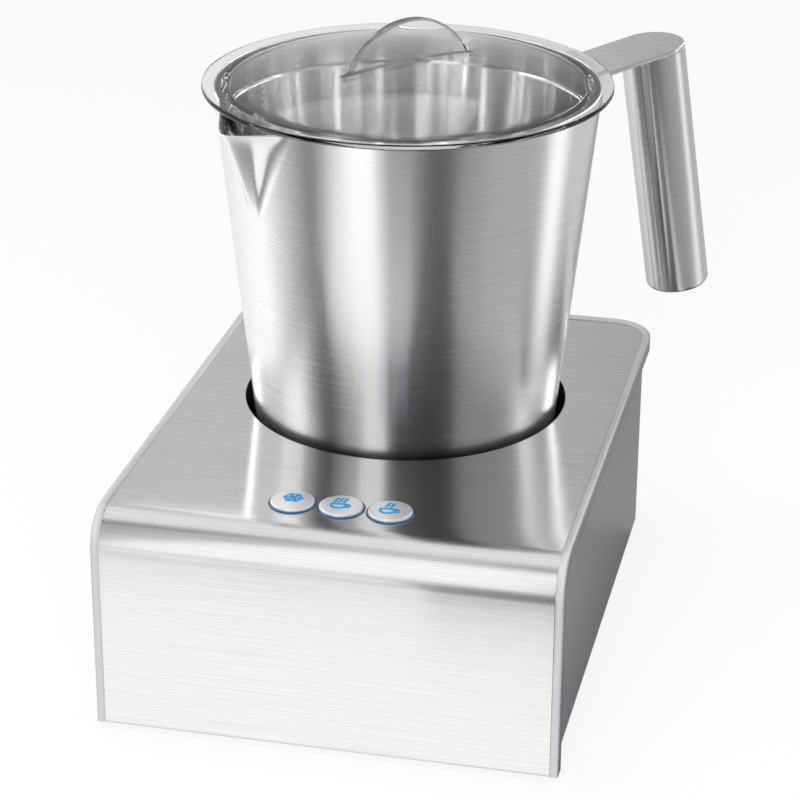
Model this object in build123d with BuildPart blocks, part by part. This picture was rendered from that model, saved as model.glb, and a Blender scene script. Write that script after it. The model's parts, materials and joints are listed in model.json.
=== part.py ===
from build123d import *

import os
from math import cos, radians, sin, tan

# Induction milk frother: a steel-clad base, a lift-off steel jug with a tube handle, a clear
# lid and a whisk that a magnet drive turns through the floor of the jug.
# Millimetres, +Z up, front at -Y. The origin is the middle of the base's footprint, on the table.

os.makedirs("parts", exist_ok=True)

# Base shell
BASE_WIDTH = 140.0
BASE_DEPTH = 186.0
BASE_HEIGHT = 68.8
FOOT_HEIGHT = 2.0
BEND_RADIUS = 12.0
BACK_CORNER = 14.0
RIM_FACE = 2.4
RIM_FACE_BACK = 3.6
RIM_BAND = 5.0
RIM_EDGE = 0.7
WALL_INSET = 2.2
SHELL = 2.4
SHEET = 0.8
SHEET_DROP = 0.35
SHEET_GAP = 0.15
FIT_GAP = 0.2
EDGE_ROUND = 1.0

# Well and jug, on one upright axis
JUG_Y = 15.5
WELL_RADIUS = 51.2
WELL_FLOOR_RADIUS = 49.8
WELL_WALL = 1.8
WELL_FLANGE = 5.0
WELL_FLANGE_HEIGHT = 1.6
WELL_FLOOR_Z = 50.0
WELL_FLOOR = 2.0
REST_RING = 0.6
JUG_RIM_Z = 173.0
JUG_RIM_RADIUS = 59.4
JUG_TAPER = 0.106
JUG_WALL = 0.8
JUG_BOTTOM_ROUND = 6.0
BASE_PLATE = 1.5
BASE_PLATE_RADIUS = 38.0
BASE_PLATE_CHAMFER = 0.4

# Pouring spout, opposite the handle
HANDLE_AZIMUTH = 48.0
SPOUT_AZIMUTH = HANDLE_AZIMUTH + 180.0
SPOUT_REACH = 67.4
SPOUT_HALF_ANGLE = 16.5
SPOUT_ROOT_ANGLE = 3.0
SPOUT_TIP_ROUND = 4.0
SPOUT_ROOT_ROUND = 0.4
SPOUT_TIP_WALL = 1.2
SPOUT_BITE = 0.5
SPOUT_ROOT_Z = 141.0
SPOUT_DIP = 0.2

# Handle
STRAP_THICK = 1.5
STRAP_EDGE = 0.3
STRAP_Z_AT_TUBE = 170.2
STRAP_SLOPE = 5.8
STRAP_OVERLAP = 10.0
TUBE_REACH = 97.3
TUBE_RADIUS = 10.5
TUBE_WALL = 1.0
TUBE_TILT = 10.6
TUBE_BOTTOM_Z = 84.4
CAP_THICK = 2.0
CAP_ROUND = 1.2

# Lid
LID_RADIUS = 62.9
LID_FLANGE = 1.7
LID_EDGE = 0.5
LID_SKIRT_RADIUS = 56.9
LID_SKIRT_WALL = 1.9
LID_SKIRT_DEPTH = 11.5
LID_DOME_RISE = 6.3
LID_PLATE = 1.8
FIN_RADIUS = 24.5
FIN_TOP_Z = 194.0
FIN_THICK = 3.0
LID_SEAT_GAP = 0.05

# Buttons
BUTTON_PITCH = 14.7
BUTTON_Y = -70.3
BUTTON_RADIUS = 6.6
BUTTON_PROUD = 1.3
BUTTON_CROWN = 0.35
BUTTON_TRAVEL = 0.8
RING_OUTER = 7.1
RING_INNER = 6.66
RING_PROUD = 0.25
GUIDE_WIDTH = 17.2
GUIDE_THICK = 1.2
BUTTON_NAMES = ("cold_foam", "hot_foam", "hot_milk")

# Magnet drive and whisk
WHISK_PIN_RADIUS = 2.0
RUNNING_GAP = 0.06
WHISK_RADIUS = 22.0
WHISK_DISC = 4.0
WHISK_LIFT = 0.6
MAGNET_RADIUS = 4.0
MAGNET_HEIGHT = 2.9
MAGNET_CIRCLE = 9.5
WHISK_MAGNET_CIRCLE = 10.0
MAGNET_COUNT = 4
DRIVE_RADIUS = 14.0

# Values that follow from the ones above
SKIRT_Z = FOOT_HEIGHT
TOP_Z = SKIRT_Z + BASE_HEIGHT
FRONT_Y = -BASE_DEPTH / 2
BACK_Y = BASE_DEPTH / 2
SEAT_DEPTH = SHEET_DROP + SHEET
SEAT_Z = TOP_Z - SEAT_DEPTH
CEILING_Z = SEAT_Z - SHELL
SHEET_TOP_Z = TOP_Z - SHEET_DROP
JUG_BOTTOM_Z = WELL_FLOOR_Z + REST_RING
JUG_SHELL_Z = JUG_BOTTOM_Z + BASE_PLATE
JUG_FLOOR_Z = JUG_SHELL_Z + JUG_WALL
FLOOR_UNDER_Z = WELL_FLOOR_Z - WELL_FLOOR
OVERRUN = 2.0
HANDLE_X = cos(radians(HANDLE_AZIMUTH))
HANDLE_Y = sin(radians(HANDLE_AZIMUTH))
JUG_AXIS = Axis((0, JUG_Y, 0), (0, 0, 1))
JUG_SECTION = Plane(origin=(0, JUG_Y, 0), x_dir=(1, 0, 0), z_dir=(0, -1, 0))


def jug_radius(z):
    """Outer radius of the tapered jug wall at a height."""
    return JUG_RIM_RADIUS - JUG_TAPER * (JUG_RIM_Z - z)


def level(z, x=0.0, y=JUG_Y):
    """Level plane at a height, centred on the jug axis unless told otherwise."""
    return Plane(origin=(x, y, z))


def side_profile(inset, low=SKIRT_Z, back=BACK_Y):
    """Side outline of the base, moved inwards: upright front, round front bend, flat top."""
    front = FRONT_Y + inset
    top = TOP_Z - inset
    bend = BEND_RADIUS - inset
    with BuildSketch(Plane.YZ) as outline:
        with BuildLine():
            Line((front, low), (front, top - bend))
            CenterArc((front + bend, top - bend), bend, 90, 90)
            Line((front + bend, top), (back, top))
            Line((back, top), (back, low))
            Line((back, low), (front, low))
        make_face()
    return outline.sketch


def plan_outline(side, back, corner, front=-OVERRUN):
    """Plan outline of the base, moved inwards: square front corners, round back corners."""
    with BuildSketch(Plane.XY) as outline:
        with Locations((0, (front - back) / 2)):
            Rectangle(BASE_WIDTH - 2 * side, BASE_DEPTH - front - back)
        fillet(outline.vertices().group_by(Axis.Y)[-1], corner)
    return outline.sketch


# Space that the side and back walls leave under the overhanging rim
with BuildPart() as side_recess:
    extrude(side_profile(RIM_BAND, 0, BASE_DEPTH), amount=BASE_WIDTH, both=True)
    extrude(
        plan_outline(WALL_INSET, WALL_INSET, BACK_CORNER - WALL_INSET),
        amount=2 * TOP_Z,
        mode=Mode.SUBTRACT,
    )

# Shallow pocket over the front and top that takes the steel sheet
with BuildPart() as sheet_pocket:
    extrude(side_profile(-1, 0, BASE_DEPTH), amount=BASE_WIDTH, both=True)
    extrude(side_profile(SEAT_DEPTH, 0, BASE_DEPTH), amount=BASE_WIDTH, both=True, mode=Mode.SUBTRACT)
    extrude(
        plan_outline(RIM_FACE, RIM_FACE_BACK, BACK_CORNER - RIM_FACE_BACK),
        amount=2 * TOP_Z,
        mode=Mode.INTERSECT,
    )

# Room inside the side and back walls
INNER_INSET = WALL_INSET + SHELL
INNER_CORNER = BACK_CORNER - INNER_INSET
with BuildPart() as base_hollow:
    extrude(plan_outline(INNER_INSET, INNER_INSET, INNER_CORNER), amount=2 * TOP_Z)

BUTTON_SPOTS = [(index * BUTTON_PITCH, BUTTON_Y) for index in (-1, 0, 1)]
BUTTON_ROW = 2 * BUTTON_PITCH
BUTTON_OPENING = 15.0
GUIDE_SEAT_WIDTH = GUIDE_WIDTH + FIT_GAP
GUIDE_SEAT_Z = SEAT_Z - GUIDE_THICK
WELL_SEAT_RADIUS = WELL_RADIUS + WELL_FLANGE
WELL_OUTER = WELL_RADIUS + WELL_WALL
PLATE_THICK = 2.5
PLATE_TOP_Z = SKIRT_Z + PLATE_THICK
BOSS_SPOTS = [(-61.5, -76.0), (61.5, -76.0), (-61.5, 68.0), (61.5, 68.0)]
BOSS_RADIUS = 4.2
BOSS_TOP_Z = 30.0
PILOT_RADIUS = 1.55
PILOT_DEPTH = 13.0
BOARD_DROP = 9.0
BOARD_TOP_Z = CEILING_Z - BOARD_DROP
POST_X = 24.0
POST_Y = 8.0
POST_SPOTS = [(x, BUTTON_Y + y) for x in (-POST_X, POST_X) for y in (-POST_Y, POST_Y)]
POST_RADIUS = 2.5
GLAND_X = -45.0
GLAND_Z = 16.0
GLAND_NECK = 4.3
WALL_OUTER_Y = BACK_Y - WALL_INSET
WALL_INNER_Y = WALL_OUTER_Y - SHELL
GLAND_PLANE = Plane(origin=(GLAND_X, WALL_INNER_Y, GLAND_Z), x_dir=(-1, 0, 0), z_dir=(0, 1, 0))


def gland_outline(depth, margin, low_z):
    """Upright outline of the lead's grommet, widened by a margin, at a depth from the wall's inside."""
    top = GLAND_NECK + margin
    low = low_z - GLAND_Z
    with BuildSketch(GLAND_PLANE.offset(depth)) as outline:
        with Locations((0, (top + low) / 2)):
            Rectangle(2 * top, top - low)
    return outline.sketch


# Moulded housing: rim, side and back walls, and the ledge that carries the deck
LEDGE = 2.0
LEDGE_FRONT = BEND_RADIUS + LEDGE
with BuildPart() as housing:
    extrude(side_profile(0), amount=BASE_WIDTH / 2, both=True)
    extrude(plan_outline(0, 0, BACK_CORNER), amount=2 * TOP_Z, mode=Mode.INTERSECT)
    upper_edges = housing.faces().sort_by(Axis.Z)[-1].edges().filter_by(
        lambda edge: edge.center().Y > FRONT_Y + BEND_RADIUS + 1
    )
    side_edges = housing.edges().filter_by(
        lambda edge: abs(edge.center().X) > BASE_WIDTH / 2 - 0.01
        and edge.center().Y < FRONT_Y + BEND_RADIUS
        and edge.center().Z > SKIRT_Z + 1
    )
    fillet(upper_edges + side_edges, RIM_EDGE)
    add(side_recess.part, mode=Mode.SUBTRACT)
    add(sheet_pocket.part, mode=Mode.SUBTRACT)
    add(base_hollow.part, mode=Mode.SUBTRACT)
    with BuildSketch(Plane.XY.offset(CEILING_Z - LEDGE)):
        add(plan_outline(INNER_INSET, INNER_INSET, INNER_CORNER, LEDGE_FRONT))
        add(
            plan_outline(INNER_INSET + LEDGE, INNER_INSET + LEDGE, INNER_CORNER - LEDGE),
            mode=Mode.SUBTRACT,
        )
    extrude(amount=LEDGE)
    with BuildSketch(Plane.XY.offset(PLATE_TOP_Z)):
        with Locations(*BOSS_SPOTS):
            Circle(BOSS_RADIUS)
    extrude(amount=BOSS_TOP_Z - PLATE_TOP_Z)
    with BuildSketch(Plane.XY.offset(PLATE_TOP_Z)):
        with Locations(*BOSS_SPOTS):
            Circle(PILOT_RADIUS)
    extrude(amount=PILOT_DEPTH, mode=Mode.SUBTRACT)
    extrude(gland_outline(0, 0, 0), amount=SHELL, mode=Mode.SUBTRACT)
housing.part.label = "housing"
export_step(housing.part, "parts/housing.step")

# Deck: bent panel behind the sheet that carries the well, the light guide and the control board
DECK_INSET = INNER_INSET + SHEET_GAP
with BuildPart() as deck:
    extrude(side_profile(SEAT_DEPTH), amount=BASE_WIDTH / 2, both=True)
    extrude(side_profile(SEAT_DEPTH + SHELL), amount=BASE_WIDTH / 2, both=True, mode=Mode.SUBTRACT)
    extrude(
        plan_outline(DECK_INSET, DECK_INSET, BACK_CORNER - DECK_INSET),
        amount=2 * TOP_Z,
        mode=Mode.INTERSECT,
    )
    with BuildSketch(level(SEAT_Z - WELL_FLANGE_HEIGHT)):
        Circle(WELL_SEAT_RADIUS + SHEET_GAP)
    extrude(amount=OVERRUN + WELL_FLANGE_HEIGHT, mode=Mode.SUBTRACT)
    with BuildSketch(level(CEILING_Z)):
        Circle(WELL_OUTER + 2 * FIT_GAP)
    extrude(amount=SHELL, mode=Mode.SUBTRACT)
    with BuildSketch(level(CEILING_Z, 0, BUTTON_Y)):
        SlotOverall(BUTTON_ROW + BUTTON_OPENING, BUTTON_OPENING)
    extrude(amount=SHELL, mode=Mode.SUBTRACT)
    with BuildSketch(level(GUIDE_SEAT_Z, 0, BUTTON_Y)):
        SlotOverall(BUTTON_ROW + GUIDE_SEAT_WIDTH, GUIDE_SEAT_WIDTH)
    extrude(amount=GUIDE_THICK, mode=Mode.SUBTRACT)
    with BuildSketch(Plane.XY.offset(BOARD_TOP_Z)):
        with Locations(*POST_SPOTS):
            Circle(POST_RADIUS)
    extrude(amount=CEILING_Z - BOARD_TOP_Z)
deck.part.label = "deck"
export_step(deck.part, "parts/deck.step")

# Brushed steel sheet, bent once over the front edge
SHEET_SIDE = RIM_FACE + SHEET_GAP
SHEET_BACK = RIM_FACE_BACK + SHEET_GAP
SHEET_HOLE = RING_OUTER + FIT_GAP / 2
with BuildPart() as cover_sheet:
    extrude(side_profile(SHEET_DROP), amount=BASE_WIDTH / 2, both=True)
    extrude(side_profile(SEAT_DEPTH), amount=BASE_WIDTH / 2, both=True, mode=Mode.SUBTRACT)
    extrude(
        plan_outline(SHEET_SIDE, SHEET_BACK, BACK_CORNER - SHEET_BACK),
        amount=2 * TOP_Z,
        mode=Mode.INTERSECT,
    )
    with BuildSketch(level(SEAT_Z)):
        Circle(WELL_RADIUS)
    extrude(amount=OVERRUN, mode=Mode.SUBTRACT)
    with BuildSketch(Plane.XY.offset(SEAT_Z)):
        with Locations(*BUTTON_SPOTS):
            Circle(SHEET_HOLE)
    extrude(amount=OVERRUN, mode=Mode.SUBTRACT)
cover_sheet.part.label = "cover_sheet"
export_step(cover_sheet.part, "parts/cover_sheet.step")

# Underside: floor plate with vent slots, screws and rubber feet
FOOT_SPOTS = [(-48.0, -74.0), (48.0, -74.0), (-48.0, 70.0), (48.0, 70.0)]
FOOT_RADIUS = 7.0
FOOT_SINK = 0.6
HEAD_RADIUS = 3.0
HEAD_HEIGHT = 1.5
SCREW_RADIUS = 1.5
SCREW_LENGTH = 14.0
FAN_X = 22.0
FAN_Y = 62.0
FAN_SIZE = 40.0
VENT_LENGTH = 30.0
VENT_WIDTH = 2.4
VENT_PITCH = 5.0
VENT_COUNT = 6
OUTLET_SPOT = (0.0, -62.0)
BOARD_LEG_SPOTS = [(-52.0, -76.0), (52.0, -76.0), (-52.0, -48.0), (52.0, -48.0)]
BOARD_LEG_RADIUS = 3.0
POWER_BOARD_Z = 9.0
PLATE_FRONT = SEAT_DEPTH + SHELL + FIT_GAP
PLATE_SIDE = INNER_INSET + FIT_GAP
with BuildPart() as bottom_plate:
    extrude(
        plan_outline(PLATE_SIDE, PLATE_SIDE, BACK_CORNER - PLATE_SIDE, PLATE_FRONT),
        amount=PLATE_TOP_Z,
    )
    with BuildSketch(Plane.XY):
        Rectangle(BASE_WIDTH, BASE_DEPTH)
    extrude(amount=SKIRT_Z, mode=Mode.SUBTRACT)
    with BuildSketch(Plane.XY.offset(SKIRT_Z)):
        with Locations((FAN_X, FAN_Y), OUTLET_SPOT):
            with GridLocations(0, VENT_PITCH, 1, VENT_COUNT):
                SlotOverall(VENT_LENGTH, VENT_WIDTH)
    extrude(amount=OVERRUN * 2, mode=Mode.SUBTRACT)
    with BuildSketch(Plane.XY.offset(SKIRT_Z)):
        with Locations(*FOOT_SPOTS):
            Circle(FOOT_RADIUS)
    extrude(amount=FOOT_SINK, mode=Mode.SUBTRACT)
    with BuildSketch(Plane.XY.offset(SKIRT_Z)):
        with Locations(*BOSS_SPOTS):
            Circle(HEAD_RADIUS + FIT_GAP)
    extrude(amount=HEAD_HEIGHT, mode=Mode.SUBTRACT)
    with BuildSketch(Plane.XY.offset(SKIRT_Z)):
        with Locations(*BOSS_SPOTS):
            Circle(SCREW_RADIUS + FIT_GAP)
    extrude(amount=OVERRUN * 2, mode=Mode.SUBTRACT)
    with BuildSketch(Plane.XY.offset(PLATE_TOP_Z)):
        with Locations(*BOARD_LEG_SPOTS):
            Circle(BOARD_LEG_RADIUS)
    extrude(amount=POWER_BOARD_Z - PLATE_TOP_Z)
bottom_plate.part.label = "bottom_plate"
export_step(bottom_plate.part, "parts/bottom_plate.step")

with BuildPart() as rubber_feet:
    with BuildSketch(Plane.XY):
        with Locations(*FOOT_SPOTS):
            Circle(FOOT_RADIUS)
    extrude(amount=FOOT_HEIGHT + FOOT_SINK)
    chamfer(rubber_feet.edges().group_by(Axis.Z)[0], FOOT_SINK)
rubber_feet.part.label = "rubber_feet"
export_step(rubber_feet.part, "parts/rubber_feet.step")

with BuildPart() as bottom_screws:
    with BuildSketch(Plane.XY.offset(SKIRT_Z)):
        with Locations(*BOSS_SPOTS):
            Circle(HEAD_RADIUS)
    extrude(amount=HEAD_HEIGHT)
    with BuildSketch(Plane.XY.offset(SKIRT_Z + HEAD_HEIGHT)):
        with Locations(*BOSS_SPOTS):
            Circle(SCREW_RADIUS)
    extrude(amount=SCREW_LENGTH - HEAD_HEIGHT)
bottom_screws.part.label = "bottom_screws"
export_step(bottom_screws.part, "parts/bottom_screws.step")

# Rubber grommet in a slot in the back wall's lower edge, where the mains lead enters
GLAND_FLANGE = 2.2
GLAND_CLIP = 1.2
GLAND_LIP = 1.5
GLAND_CORNER = 2.5
GLAND_BORE = 3.2
with BuildPart() as cord_gland:
    extrude(gland_outline(SHELL, GLAND_FLANGE, SKIRT_Z), amount=GLAND_LIP)
    fillet(cord_gland.edges().filter_by(Axis.Y), GLAND_CORNER)
    chamfer(cord_gland.faces().sort_by(Axis.Y)[-1].edges(), GLAND_LIP / 2)
    extrude(gland_outline(0, 0, SKIRT_Z), amount=SHELL)
    extrude(gland_outline(-GLAND_LIP, GLAND_CLIP, PLATE_TOP_Z + FIT_GAP), amount=GLAND_LIP)
    with BuildSketch(GLAND_PLANE.offset(-GLAND_LIP)):
        Circle(GLAND_BORE)
    extrude(amount=SHELL + 2 * GLAND_LIP, mode=Mode.SUBTRACT)
cord_gland.part.label = "cord_gland"
export_step(cord_gland.part, "parts/cord_gland.step")

# Well: black cup that the jug stands in, hung by its flange under the sheet
COIL_WIRE = 3.0
CARRIER_TOP_Z = FLOOR_UNDER_Z - COIL_WIRE
CARRIER_POST_CIRCLE = 47.0
CARRIER_POST_RADIUS = 2.5
REST_RING_RADIUS = 36.0
REST_RING_WIDTH = 5.0
with BuildPart() as well_cup:
    with BuildSketch(JUG_SECTION):
        with BuildLine():
            Polyline(
                (0, FLOOR_UNDER_Z),
                (WELL_FLOOR_RADIUS + WELL_WALL, FLOOR_UNDER_Z),
                (WELL_OUTER, SEAT_Z - WELL_FLANGE_HEIGHT),
                (WELL_SEAT_RADIUS, SEAT_Z - WELL_FLANGE_HEIGHT),
                (WELL_SEAT_RADIUS, SEAT_Z),
                (WELL_RADIUS, SEAT_Z),
                (WELL_FLOOR_RADIUS, WELL_FLOOR_Z),
                (REST_RING_RADIUS + REST_RING_WIDTH, WELL_FLOOR_Z),
                (REST_RING_RADIUS + REST_RING_WIDTH, JUG_BOTTOM_Z),
                (REST_RING_RADIUS, JUG_BOTTOM_Z),
                (REST_RING_RADIUS, WELL_FLOOR_Z),
                (0, WELL_FLOOR_Z),
                close=True,
            )
        make_face()
    revolve(axis=JUG_AXIS)
    with BuildSketch(level(CARRIER_TOP_Z)):
        with PolarLocations(CARRIER_POST_CIRCLE, 4, start_angle=45):
            Circle(CARRIER_POST_RADIUS)
    extrude(amount=COIL_WIRE)
well_cup.part.label = "well_cup"
export_step(well_cup.part, "parts/well_cup.step")

# Induction heater under the well floor
CARRIER_RADIUS = 50.0
CARRIER_HOLE = 15.5
CARRIER_THICK = 2.0
with BuildPart() as coil_carrier:
    with BuildSketch(level(CARRIER_TOP_Z - CARRIER_THICK)):
        Circle(CARRIER_RADIUS)
        Circle(CARRIER_HOLE, mode=Mode.SUBTRACT)
    extrude(amount=CARRIER_THICK)
coil_carrier.part.label = "coil_carrier"
export_step(coil_carrier.part, "parts/coil_carrier.step")

# One unbroken flat spiral of half turns about two centres that lie half a pitch apart
COIL_INNER = 18.5
COIL_PITCH = 3.7
COIL_HALF_TURNS = 12
COIL_SAMPLES = 240
with BuildPart() as induction_coil:
    with BuildLine(level(CARRIER_TOP_Z + COIL_WIRE / 2)) as spiral:
        for half_turn in range(COIL_HALF_TURNS):
            odd = half_turn % 2
            CenterArc(
                (odd * COIL_PITCH / 2, 0),
                COIL_INNER + half_turn * COIL_PITCH / 2,
                odd * 180,
                180,
            )
    with BuildSketch(Plane(origin=spiral.line @ 0, z_dir=spiral.line % 0)):
        Circle(COIL_WIRE / 2)
    sweep(path=spiral.line)
coil_points = [spiral.line @ (index / COIL_SAMPLES) for index in range(COIL_SAMPLES + 1)]
apart = COIL_SAMPLES // COIL_HALF_TURNS
coil_gap = min(
    (coil_points[later] - coil_points[first]).length
    for first in range(COIL_SAMPLES)
    for later in range(first + apart, COIL_SAMPLES + 1)
) - COIL_WIRE
print(f"least gap between turns of the coil: {coil_gap:.2f} mm")
induction_coil.part.label = "induction_coil"
export_step(induction_coil.part, "parts/induction_coil.step")

FERRITE_COUNT = 6
FERRITE_LENGTH = 24.0
FERRITE_WIDTH = 8.0
FERRITE_HEIGHT = 4.0
FERRITE_CIRCLE = 32.0
with BuildPart() as ferrite_bars:
    with BuildSketch(level(CARRIER_TOP_Z - CARRIER_THICK - FERRITE_HEIGHT)):
        with PolarLocations(FERRITE_CIRCLE, FERRITE_COUNT, start_angle=30):
            Rectangle(FERRITE_LENGTH, FERRITE_WIDTH)
    extrude(amount=FERRITE_HEIGHT)
ferrite_bars.part.label = "ferrite_bars"
export_step(ferrite_bars.part, "parts/ferrite_bars.step")

SENSOR_RADIUS = 2.2
with BuildPart() as temperature_sensor:
    with BuildSketch(level(CARRIER_TOP_Z, 0, JUG_Y - CARRIER_POST_CIRCLE)):
        Circle(SENSOR_RADIUS)
    extrude(amount=COIL_WIRE)
    fillet(temperature_sensor.edges().group_by(Axis.Z)[0], EDGE_ROUND / 2)
temperature_sensor.part.label = "temperature_sensor"
export_step(temperature_sensor.part, "parts/temperature_sensor.step")

# Motor with its cradle on the floor plate
MOTOR_RADIUS = 13.7
CRADLE_BASE = 3.0
MOTOR_LOW_Z = PLATE_TOP_Z + CRADLE_BASE
MOTOR_TOP_Z = 34.0
MOTOR_NECK_Z = 36.0
MOTOR_NECK_RADIUS = 4.5
SHAFT_RADIUS = 1.5
SHAFT_LOW_Z = 20.0
SHAFT_END_GAP = 1.0
CRADLE_RADIUS = 24.0
CRADLE_WALL_TOP_Z = 20.0
CRADLE_WALL = 2.4
CRADLE_HOLE = 1.6
CRADLE_HOLE_CIRCLE = 20.0
DRIVE_LOW_Z = 38.0
DRIVE_GAP = 1.5
DRIVE_TOP_Z = FLOOR_UNDER_Z - DRIVE_GAP
with BuildPart() as motor_cradle:
    with BuildSketch(level(PLATE_TOP_Z)):
        Circle(CRADLE_RADIUS)
        with PolarLocations(CRADLE_HOLE_CIRCLE, 3):
            Circle(CRADLE_HOLE, mode=Mode.SUBTRACT)
    extrude(amount=MOTOR_LOW_Z - PLATE_TOP_Z)
    with BuildSketch(level(MOTOR_LOW_Z)):
        Circle(MOTOR_RADIUS + CRADLE_WALL)
        Circle(MOTOR_RADIUS + FIT_GAP / 2, mode=Mode.SUBTRACT)
    extrude(amount=CRADLE_WALL_TOP_Z - MOTOR_LOW_Z)
motor_cradle.part.label = "motor_cradle"
export_step(motor_cradle.part, "parts/motor_cradle.step")

with BuildPart() as motor_can:
    with BuildSketch(level(MOTOR_LOW_Z)):
        Circle(MOTOR_RADIUS)
    extrude(amount=MOTOR_TOP_Z - MOTOR_LOW_Z)
    fillet(motor_can.edges().group_by(Axis.Z)[-1], EDGE_ROUND)
    with BuildSketch(level(MOTOR_TOP_Z)):
        Circle(MOTOR_NECK_RADIUS)
    extrude(amount=MOTOR_NECK_Z - MOTOR_TOP_Z)
    with BuildSketch(level(SHAFT_LOW_Z - SHAFT_END_GAP)):
        Circle(SHAFT_RADIUS + RUNNING_GAP)
    extrude(amount=MOTOR_NECK_Z, mode=Mode.SUBTRACT)
motor_can.part.label = "motor_can"
export_step(motor_can.part, "parts/motor_can.step")

with BuildPart() as motor_shaft:
    with BuildSketch(level(SHAFT_LOW_Z)):
        Circle(SHAFT_RADIUS)
    extrude(amount=DRIVE_TOP_Z - MAGNET_HEIGHT - SHAFT_LOW_Z)
motor_shaft.part.label = "motor_shaft"
export_step(motor_shaft.part, "parts/motor_shaft.step")

with BuildPart() as drive_hub:
    with BuildSketch(level(DRIVE_LOW_Z)):
        Circle(DRIVE_RADIUS)
    extrude(amount=DRIVE_TOP_Z - DRIVE_LOW_Z)
    with BuildSketch(level(DRIVE_TOP_Z - MAGNET_HEIGHT)):
        with PolarLocations(MAGNET_CIRCLE, MAGNET_COUNT):
            Circle(MAGNET_RADIUS)
    extrude(amount=MAGNET_HEIGHT, mode=Mode.SUBTRACT)
    with BuildSketch(level(DRIVE_LOW_Z)):
        Circle(SHAFT_RADIUS)
    extrude(amount=DRIVE_TOP_Z - MAGNET_HEIGHT - DRIVE_LOW_Z, mode=Mode.SUBTRACT)
drive_hub.part.label = "drive_hub"
export_step(drive_hub.part, "parts/drive_hub.step")

with BuildPart() as drive_magnets:
    with BuildSketch(level(DRIVE_TOP_Z - MAGNET_HEIGHT)):
        with PolarLocations(MAGNET_CIRCLE, MAGNET_COUNT):
            Circle(MAGNET_RADIUS)
    extrude(amount=MAGNET_HEIGHT)
drive_magnets.part.label = "drive_magnets"
export_step(drive_magnets.part, "parts/drive_magnets.step")

# Power electronics on legs of the floor plate
BOARD_THICK = 1.6
POWER_TOP_Z = POWER_BOARD_Z + BOARD_THICK
POWER_LENGTH = 114.0
POWER_DEPTH = 38.0
POWER_Y = -62.0
with BuildPart() as power_board:
    with BuildSketch(level(POWER_BOARD_Z, 0, POWER_Y)):
        Rectangle(POWER_LENGTH, POWER_DEPTH)
    extrude(amount=BOARD_THICK)
power_board.part.label = "power_board"
export_step(power_board.part, "parts/power_board.step")

SINK_FINS = 7
SINK_PITCH = 4.5
SINK_FIN = 1.4
SINK_BASE = 4.0
SINK_HEIGHT = 22.0
SINK_DEPTH = 30.0
SINK_X = 30.0
with BuildPart() as heat_sink:
    with BuildSketch(level(POWER_TOP_Z, SINK_X, POWER_Y)):
        Rectangle(SINK_PITCH * (SINK_FINS - 1) + SINK_FIN, SINK_DEPTH)
    extrude(amount=SINK_BASE)
    with BuildSketch(level(POWER_TOP_Z + SINK_BASE, SINK_X, POWER_Y)):
        with GridLocations(SINK_PITCH, 0, SINK_FINS, 1):
            Rectangle(SINK_FIN, SINK_DEPTH)
    extrude(amount=SINK_HEIGHT - SINK_BASE)
heat_sink.part.label = "heat_sink"
export_step(heat_sink.part, "parts/heat_sink.step")

CAPACITOR_SPOT = (-12.0, POWER_Y)
CAPACITOR_RADIUS = 9.0
CAPACITOR_HEIGHT = 26.0
with BuildPart() as smoothing_capacitor:
    with BuildSketch(level(POWER_TOP_Z, *CAPACITOR_SPOT)):
        Circle(CAPACITOR_RADIUS)
    extrude(amount=CAPACITOR_HEIGHT)
    fillet(smoothing_capacitor.edges().group_by(Axis.Z)[-1], EDGE_ROUND)
smoothing_capacitor.part.label = "smoothing_capacitor"
export_step(smoothing_capacitor.part, "parts/smoothing_capacitor.step")

CHOKE_SPOT = (-40.0, POWER_Y)
CHOKE_OUTER = 11.0
CHOKE_INNER = 5.0
CHOKE_HEIGHT = 10.0
with BuildPart() as filter_choke:
    with BuildSketch(level(POWER_TOP_Z, *CHOKE_SPOT)):
        Circle(CHOKE_OUTER)
        Circle(CHOKE_INNER, mode=Mode.SUBTRACT)
    extrude(amount=CHOKE_HEIGHT)
    fillet(filter_choke.edges().group_by(Axis.Z)[-1], EDGE_ROUND)
filter_choke.part.label = "filter_choke"
export_step(filter_choke.part, "parts/filter_choke.step")

# Cooling fan over the vent slots
FAN_HEIGHT = 10.0
FAN_BORE = 18.6
FAN_HUB = 9.0
FAN_PIN = 1.2
FAN_SPIDER = 1.2
FAN_CORNER = 3.0
FAN_ARM = 2.5
FAN_GAP = 0.5
FAN_BLADES = 7
FAN_BLADE = 1.0
FAN_BLADE_ROOT = FAN_HUB - 1.0
FAN_BLADE_REACH = 17.6
FAN_BLADE_PITCH = 38.0
with BuildPart() as fan_frame:
    with BuildSketch(level(PLATE_TOP_Z, FAN_X, FAN_Y)):
        RectangleRounded(FAN_SIZE, FAN_SIZE, FAN_CORNER)
        Circle(FAN_BORE, mode=Mode.SUBTRACT)
        with PolarLocations(FAN_BORE / 2, 3):
            Rectangle(FAN_BORE + OVERRUN, FAN_ARM)
        Circle(FAN_HUB)
    extrude(amount=FAN_SPIDER)
    with BuildSketch(level(PLATE_TOP_Z + FAN_SPIDER, FAN_X, FAN_Y)):
        RectangleRounded(FAN_SIZE, FAN_SIZE, FAN_CORNER)
        Circle(FAN_BORE, mode=Mode.SUBTRACT)
        Circle(FAN_PIN)
    extrude(amount=FAN_HEIGHT - FAN_SPIDER)
fan_frame.part.label = "fan_frame"
export_step(fan_frame.part, "parts/fan_frame.step")

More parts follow.
